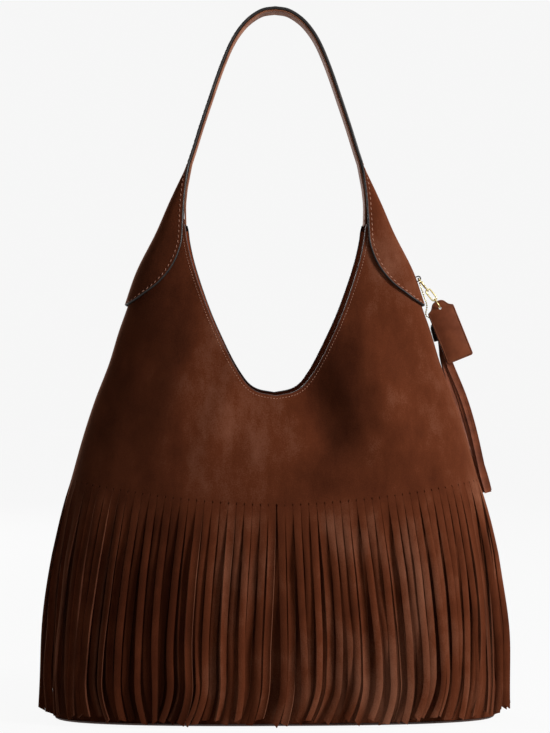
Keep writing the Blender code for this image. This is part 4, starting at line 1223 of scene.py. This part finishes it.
def make_side_loop():
    """The strip of leather bent to a loop, with its two ends towards the strap's side."""
    z = HOOK_PIVOT.z
    angle = next(a for a in np.linspace(0, 0.6, 200) if abs(face(a, z, FRONT)[1]) >= abs(CHARM_Y))
    square = outward(angle, z, FRONT)
    out = Vector((square[0], 0.0, square[2])).normalized()
    along = Vector((-out.z, 0.0, out.x))
    turns = [math.radians(-90 + 180 * n / 24) for n in range(25)]
    path = [HOOK_PIVOT + (out * math.cos(t) + along * math.sin(t)) * LOOP_RADIUS for t in turns]
    first, last = ([path[end] - out * back for back in (0.0008, 0.0017)] for end in (0, -1))
    path = np.array([list(p) for p in (*first[::-1], *path, *last)])
    normals = np.cross(unit(np.gradient(path, axis=0)), [0.0, 1.0, 0.0])
    rows = []
    for p, n in zip(path, normals):
        rows.append([p + n * (lift * LOOP_LEATHER) + (0.0, across, 0.0) for across, lift in LOOP_SECTION])
    bm = bmesh.new()
    loft(bm, rows, closed=True, caps=2)
    recalculate(bm)
    build("charm_loop", bm, "dark", "side_loop")


def make_hook():
    """The snap hook: its bow, a barrel for a neck with two rims, its swivel eye and its gate."""
    down = tilted(HOOK_TILT)
    points = oval(HOOK_PIVOT, down, DEPTHWISE, HOOK_LENGTH, HOOK_HALF_WIDTH)
    opening = []
    for n, p in enumerate(points):
        ahead, side = (p - HOOK_PIVOT).dot(down), (p - HOOK_PIVOT).dot(DEPTHWISE)
        if side < 0 and GATE_START - 0.0003 < ahead < GATE_END + 0.0003:
            opening.append(n)
    start = opening[-1] + 1
    kept = [points[(start + n) % len(points)] for n in range(len(points) - len(opening))]
    bow = wire("bow", kept, HOOK_WIRE, resolution=5)
    eye_centre = HOOK_PIVOT + down * (HOOK_LENGTH + HOOK_NECK + EYE_RADIUS)
    eye = wire("eye", ring_points(eye_centre, down, DEPTHWISE, EYE_RADIUS), EYE_WIRE, True)
    top = HOOK_PIVOT + down * (HOOK_LENGTH - 0.0006)
    neck = turned("neck", NECK_PROFILE, top, down, "brass", 28)
    join("snap_hook", [bow, eye, neck], "brass", "clasp_hook", "clasp")
    start = HOOK_PIVOT + down * GATE_START - DEPTHWISE * HOOK_HALF_WIDTH
    middle = start.lerp(GATE_HINGE, 0.5) - DEPTHWISE * 0.00024
    quarter = start.lerp(middle, 0.5) - DEPTHWISE * 0.00008
    lever = wire("lever", [start, quarter, middle, middle.lerp(GATE_HINGE, 0.5), GATE_HINGE], GATE_WIRE)
    nub = turned("nub", NUB_PROFILE, middle, -DEPTHWISE, "brass", 20)
    join("snap_gate", [lever, nub], "brass", "clasp_gate", "gate")


def make_rings():
    """The link, the ring of the tag and the small ring of the tassel."""
    down, across, lean = tilted(HOOK_TILT), beside(HOOK_TILT), tilted(RING_TILT)
    start = LINK_PIVOT - down * (EYE_WIRE + LINK_WIRE + GAP)
    link = oval(start, down, across, LINK_LENGTH, LINK_HALF_WIDTH)
    finish(wire("long_link", link, LINK_WIRE, True), "link", "link")
    hoop = ring_points(RING_PIVOT + lean * RING_RADIUS, lean, DEPTHWISE, RING_RADIUS, 64)
    finish(wire("round_ring", hoop, RING_WIRE, True), "tag_ring", "ring")
    small = ring_points(TASSEL_PIVOT, DEPTHWISE, across, CHAIN_RING_RADIUS, 36)
    finish(wire("small_ring", small, CHAIN_RING_WIRE, True), "chain_ring", "tassel")


def tag_outline(inset=0.0):
    """The outline of the tag about its hole, as distances across and down."""
    half = smooth_path([(x, -lift) for x, lift in reversed(TAG_CROWN)], 3)
    corner_x, corner_y = TAG_HALF_WIDTH - TAG_CORNER, TAG_LENGTH - TAG_CORNER
    right = [*map(tuple, half), (TAG_HALF_WIDTH - 0.00006, 0.0020), (TAG_HALF_WIDTH, 0.0040)]
    right += [(TAG_HALF_WIDTH, y) for y in np.linspace(0.010, corner_y, 8)]
    for t in np.linspace(math.pi / 2, 0, 8)[1:]:
        right.append((corner_x + TAG_CORNER * math.sin(t), corner_y + TAG_CORNER * math.cos(t)))
    right += [(x, TAG_LENGTH) for x in np.linspace(corner_x, 0, 5)[1:]]
    line = np.array(right + [(-x, y) for x, y in reversed(right[1:-1])])
    along = unit(np.roll(line, -1, axis=0) - np.roll(line, 1, axis=0))
    return line + np.stack([-along[:, 1], along[:, 0]], axis=-1) * inset


# Rings of the tag from one face over its edge to the other: how far in, and how far into the leather
TAG_RINGS = (
    (0.00180, 0.00000), (0.00140, 0.00022), (0.00105, 0.00000), (0.00050, 0.00005), (0.00010, 0.00045),
)
# The strips of faces that are the pressed line and not the face or the edge, by their rings
CREASES = ({0, 1}, {1, 2}, {7, 8}, {8, 9})


def make_tag():
    """The hang tag: two faces of leather, a painted edge and a pressed line inside it."""
    axes = beside(TAG_TILT), tilted(TAG_TILT), DEPTHWISE, TAG_PIVOT
    across, down, square, centre = (np.array(list(v)) for v in axes)
    half = TAG_THICKNESS / 2

    def place(line, lift):
        return [centre + across * x + down * y + square * lift for x, y in line]

    def close(first, second):
        """Fills the face between an outline and the hole in it."""
        edges = []
        for ring in (first, second):
            for v, w in zip(ring, ring[1:] + ring[:1]):
                edges.append(bm.edges.get((v, w)) or bm.edges.new((v, w)))
        bmesh.ops.triangle_fill(bm, use_beauty=True, use_dissolve=False, edges=edges)

    steps = [(inset, -half + lift) for inset, lift in TAG_RINGS]
    steps += [(inset, half - lift) for inset, lift in reversed(TAG_RINGS)]
    outlines = [(tag_outline(inset + TAG_INSET), lift) for inset, lift in steps]
    turns = np.linspace(0, math.tau, 25)[:-1]
    hole = [(TAG_HOLE * math.cos(t), TAG_HOLE * math.sin(t)) for t in turns]
    bm = bmesh.new()
    grid = loft(bm, [place(line, lift) for line, lift in outlines], closed=True)
    holes = [[bm.verts.new(p) for p in place(hole, lift)] for lift in (-half, half)]
    close(grid[0], holes[0])
    close(grid[-1], holes[1])
    grid_faces(bm, holes, False, closed=True)
    recalculate(bm)
    tag = from_bmesh("tag_leather_card", bm, "tag")
    tag.data.materials.append(LOOKS["paint"][0])
    tag.data.materials.append(LOOKS["raw_edge"][0])
    per_row = len(outlines[0][0])
    for item in tag.data.polygons:
        middle = np.array(item.center) - centre
        on_edge = abs(middle @ square) < half - 0.0001 and abs(item.normal.y) < 0.6
        if len(item.vertices) == 4 and {v // per_row for v in item.vertices} in CREASES:
            item.material_index = 2
        elif on_edge and math.hypot(middle @ across, middle @ down) > TAG_HOLE * 1.5:
            item.material_index = 1
    finish(tag, "hang_tag", "tag")


def tassel_axis(height):
    """The middle of the tassel's cap at a height."""
    low = body_reach(TASSEL_TOP - CAP_LENGTH, 0.0) + CAP_RADIUS + GAP * 3
    x = low - (height - (TASSEL_TOP - CAP_LENGTH)) * math.tan(TASSEL_TILT)
    return Vector((x, CAP_CENTRE_Y, height))


def make_chain():
    """The bead chain, bead by bead on a fine wire, from its ring down to the tassel's cap."""
    reach = CHAIN_RING_RADIUS + CHAIN_RING_WIRE + BEAD_RADIUS + GAP / 2
    lean = beside(HOOK_TILT) * -math.sin(CHAIN_TURN) + Vector((0.0, math.cos(CHAIN_TURN), 0.0))
    top = TASSEL_PIVOT + lean * reach
    points = [tuple(top)]
    for share, y in ((0.30, -0.0010), (0.60, 0.0012), (0.85, 0.0032)):
        z = top.z + (TASSEL_TOP - top.z) * share
        cover = SPADE_GAP + STRAP_LEATHER + 0.0006 if z > SPADE_EDGE[0][0] - 0.004 else 0.0
        points.append((body_reach(z, cover) + BEAD_RADIUS + GAP * 2, y, z))
    points.append(tuple(tassel_axis(TASSEL_TOP + GAP * 2)))
    path = smooth_path(points, 8)
    string = wire("string", [Vector(p) for p in evenly(path, 40)], CHAIN_WIRE, resolution=2)
    bm = bmesh.new()
    for p in evenly(path, max(int(run_of(path)[-1] / BEAD_PITCH), 2))[:-1]:
        spot = Matrix.Translation(p)
        bmesh.ops.create_icosphere(bm, subdivisions=2, radius=BEAD_RADIUS * 0.95, matrix=spot)
    join("ball_chain", [string, from_bmesh("beads", bm, "brass")], "brass", "bead_chain", "tassel")


def cap_profile(length):
    """The tassel's cap: radius and height, over its outside and back up its inside."""
    inner = CAP_RADIUS - CAP_WALL
    outside = (
        (0.30, length - 0.0001), (0.58, length - 0.0010), (0.82, length - 0.0028), (0.96, length - 0.0052),
        (1.0, length - 0.0080), (1.0, length - 0.0100), (0.965, length - 0.0104), (1.0, length - 0.0108),
        (1.0, 0.0012), (0.97, 0.0),
    )
    inside = [(inner, 0.0), (inner, length - 0.0072), (inner * 0.85, length - 0.0044)]
    outline = [(CAP_RADIUS * share, z) for share, z in outside]
    return [(0.0, length), *outline, *inside, (0.0, length - 0.0030)]


def strip_line(number, back, fan, base, rng):
    """The middle of one strip of the tassel, from inside the cap to its tip."""
    spread = number - (TASSEL_STRIPS - 1) / 2
    start = tassel_axis(TASSEL_TOP - CAP_LENGTH * 0.62)
    points = [(p.x, p.y + spread * STRIP_PITCH, p.z) for p in (start, base)]
    tip = TASSEL_TIP + 0.001 + 0.004 * rng.random()
    shift = rng.uniform(-0.0016, 0.0026)
    lead = base.x - body_reach(base.z, 0.0) - STRIP_STAND
    for n in range(1, 19):
        share = n / 18
        z = base.z - 0.006 + (tip - base.z + 0.006) * share
        y = CAP_CENTRE_Y + spread * (STRIP_PITCH + 0.0011 * share) + 0.0004 * math.sin(share * 7 + number)
        x = body_reach(z, 0.0) + STRIP_STAND + shift * share + 0.0006 * math.sin(share * 6 + number * 2)
        x += lead * (1 - share) ** (2 + 7 * fan) - back
        x += (0.5 - fan) * 0.0046 * math.sin(math.pi * min(share * 1.15, 1.0)) ** 0.8
        points.append((x, y, z))
    return np.array(points)


def make_tassel():
    """The tassel: a cap of leather and the strips that hang from inside it, in two layers."""
    top, low = tassel_axis(TASSEL_TOP), tassel_axis(TASSEL_TOP - CAP_LENGTH)
    profile = cap_profile((top - low).length)
    cap = turned("tassel_leather_cap", profile, low, (top - low).normalized(), "dark")
    finish(cap, "tassel_cap", "tassel")
    rng = random.Random(3)
    layers = [(number, 0.0, (number * 5 % 6) / 5) for number in range(TASSEL_STRIPS)]
    layers += [(n + 0.5, SECOND_LAYER, (n * 3 % 5) / 4) for n in range(TASSEL_STRIPS - 1)]
    parts = []
    for number, back, fan in layers:
        points = strip_line(number, back, fan, low, rng)
        ahead = unit(np.gradient(points, axis=0))
        across = unit(np.cross([0.0, 1.0, 0.0], ahead))
        twist = math.radians(rng.uniform(-26, 26)) * np.linspace(0, 1, len(points)) ** 1.3
        square = np.cross(ahead, across)
        across = across * np.cos(twist)[:, None] + square * np.sin(twist)[:, None]
        width = np.where(np.arange(len(points)) < 2, STRIP_WIDTH_IN_CAP, STRIP_WIDTH)
        bow = 0.0004 * rng.choice((-1, 1))
        rows = []
        for p, a, q, w in zip(points, across, square, width):
            rows.append([p + a * (s * w / 2) + q * (bow * (1 - s * s)) for s in STRIP_SHARES])
        strip = lofted("strip", rows, "strips", flip=True)
        thicken(strip, STRIP_LEATHER, offset=0.0)
        parts.append(strip)
    join("tassel_suede_strips", parts, "strips", "tassel_strips", "tassel")


# Camera, floor and light


def aimed(name, data, place, target):
    """A camera or a lamp at a place, pointed at a target."""
    obj = bpy.data.objects.new(name, data)
    bpy.context.scene.collection.objects.link(obj)
    obj.location = place
    obj.rotation_euler = (Vector(target) - Vector(place)).to_track_quat("-Z", "Y").to_euler()
    return obj


def set_camera():
    camera = bpy.data.cameras.new("camera")
    camera.sensor_fit = "VERTICAL"
    camera.sensor_height = camera.sensor_width = SENSOR
    camera.lens = SENSOR / 2 / ((VIEW_HEIGHT / 2) / CAMERA_DISTANCE)
    camera.clip_start = 0.01
    away = Vector((math.sin(CAMERA_YAW) * CAMERA_DISTANCE, -math.cos(CAMERA_YAW) * CAMERA_DISTANCE, 0.0))
    bpy.context.scene.camera = aimed("camera", camera, CAMERA_TARGET + away, CAMERA_TARGET)


def show_plain(tree, lit, plain, output):
    """Shows the plain shader to the camera and in reflections, and the lit one to all other rays."""
    rays = add_node(tree, "LightPath", {})
    seen = rays["Is Camera Ray"]
    for name in ("Is Glossy Ray", "Is Transmission Ray"):
        seen = add_node(tree, "Math", {0: seen, 1: rays[name]}, operation="MAXIMUM")["Value"]
    mix = add_node(tree, "MixShader", {"Fac": seen, 1: lit, 2: plain})
    fill_inputs(tree, tree.nodes[output], {"Surface": mix["Shader"]})


def make_stage():
    """A wide pale floor, which shows nearly white and keeps the bag's shadow."""
    bm = bmesh.new()
    bmesh.ops.create_circle(bm, cap_ends=True, segments=96, radius=FLOOR_RADIUS)
    recalculate(bm)
    if sum(f.normal.z for f in bm.faces) < 0:
        bmesh.ops.reverse_faces(bm, faces=bm.faces)
    floor = from_bmesh("floor", bm)
    material = bpy.data.materials.new("pale_paper")
    material.use_nodes = True
    tree = material.node_tree
    shader = tree.nodes["Principled BSDF"]
    paper = {"Base Color": (*colour(200, 200, 200), 1.0), "Roughness": 0.95, "Specular IOR Level": 0.1}
    fill_inputs(tree, shader, paper)
    glow = add_node(tree, "Emission", {"Color": WHITE, "Strength": FLOOR_GLOW})
    faint = add_node(tree, "BsdfDiffuse", {"Color": (FLOOR_SHADE, FLOOR_SHADE, FLOOR_SHADE, 1.0)})
    both = add_node(tree, "AddShader", {0: glow["Emission"], 1: faint["BSDF"]})
    show_plain(tree, shader.outputs["BSDF"], both["Shader"], "Material Output")
    floor.data.materials.append(material)


def set_light():
    world = bpy.data.worlds.new("studio")
    world.use_nodes = True
    tree = world.node_tree
    background = tree.nodes["Background"]
    fill_inputs(tree, background, {"Color": (*colour(250, 250, 252), 1.0), "Strength": WORLD_LIGHT})
    white = add_node(tree, "Background", {"Color": WHITE, "Strength": FLOOR_GLOW})
    show_plain(tree, background.outputs["Background"], white["Background"], "World Output")
    bpy.context.scene.world = world
    for name, (place, target, size, power) in LAMPS.items():
        lamp = bpy.data.lights.new(name, "AREA")
        lamp.shape = "RECTANGLE"
        lamp.size, lamp.size_y = size
        lamp.energy = power
        aimed(name, lamp, place, target)


bpy.context.scene.view_settings.view_transform = "Standard"
set_camera()
for side in (FRONT, BACK):
    make_panel(side)
    make_wall(side)
    make_facing(side)
    make_mouth_edge(side)
make_side_seams()
make_lining()
make_pocket()
make_snaps()
make_base()
make_strap()
make_strap_lining()
make_side_loop()
make_hook()
make_rings()
make_tag()
make_chain()
make_tassel()
make_stage()
set_light()
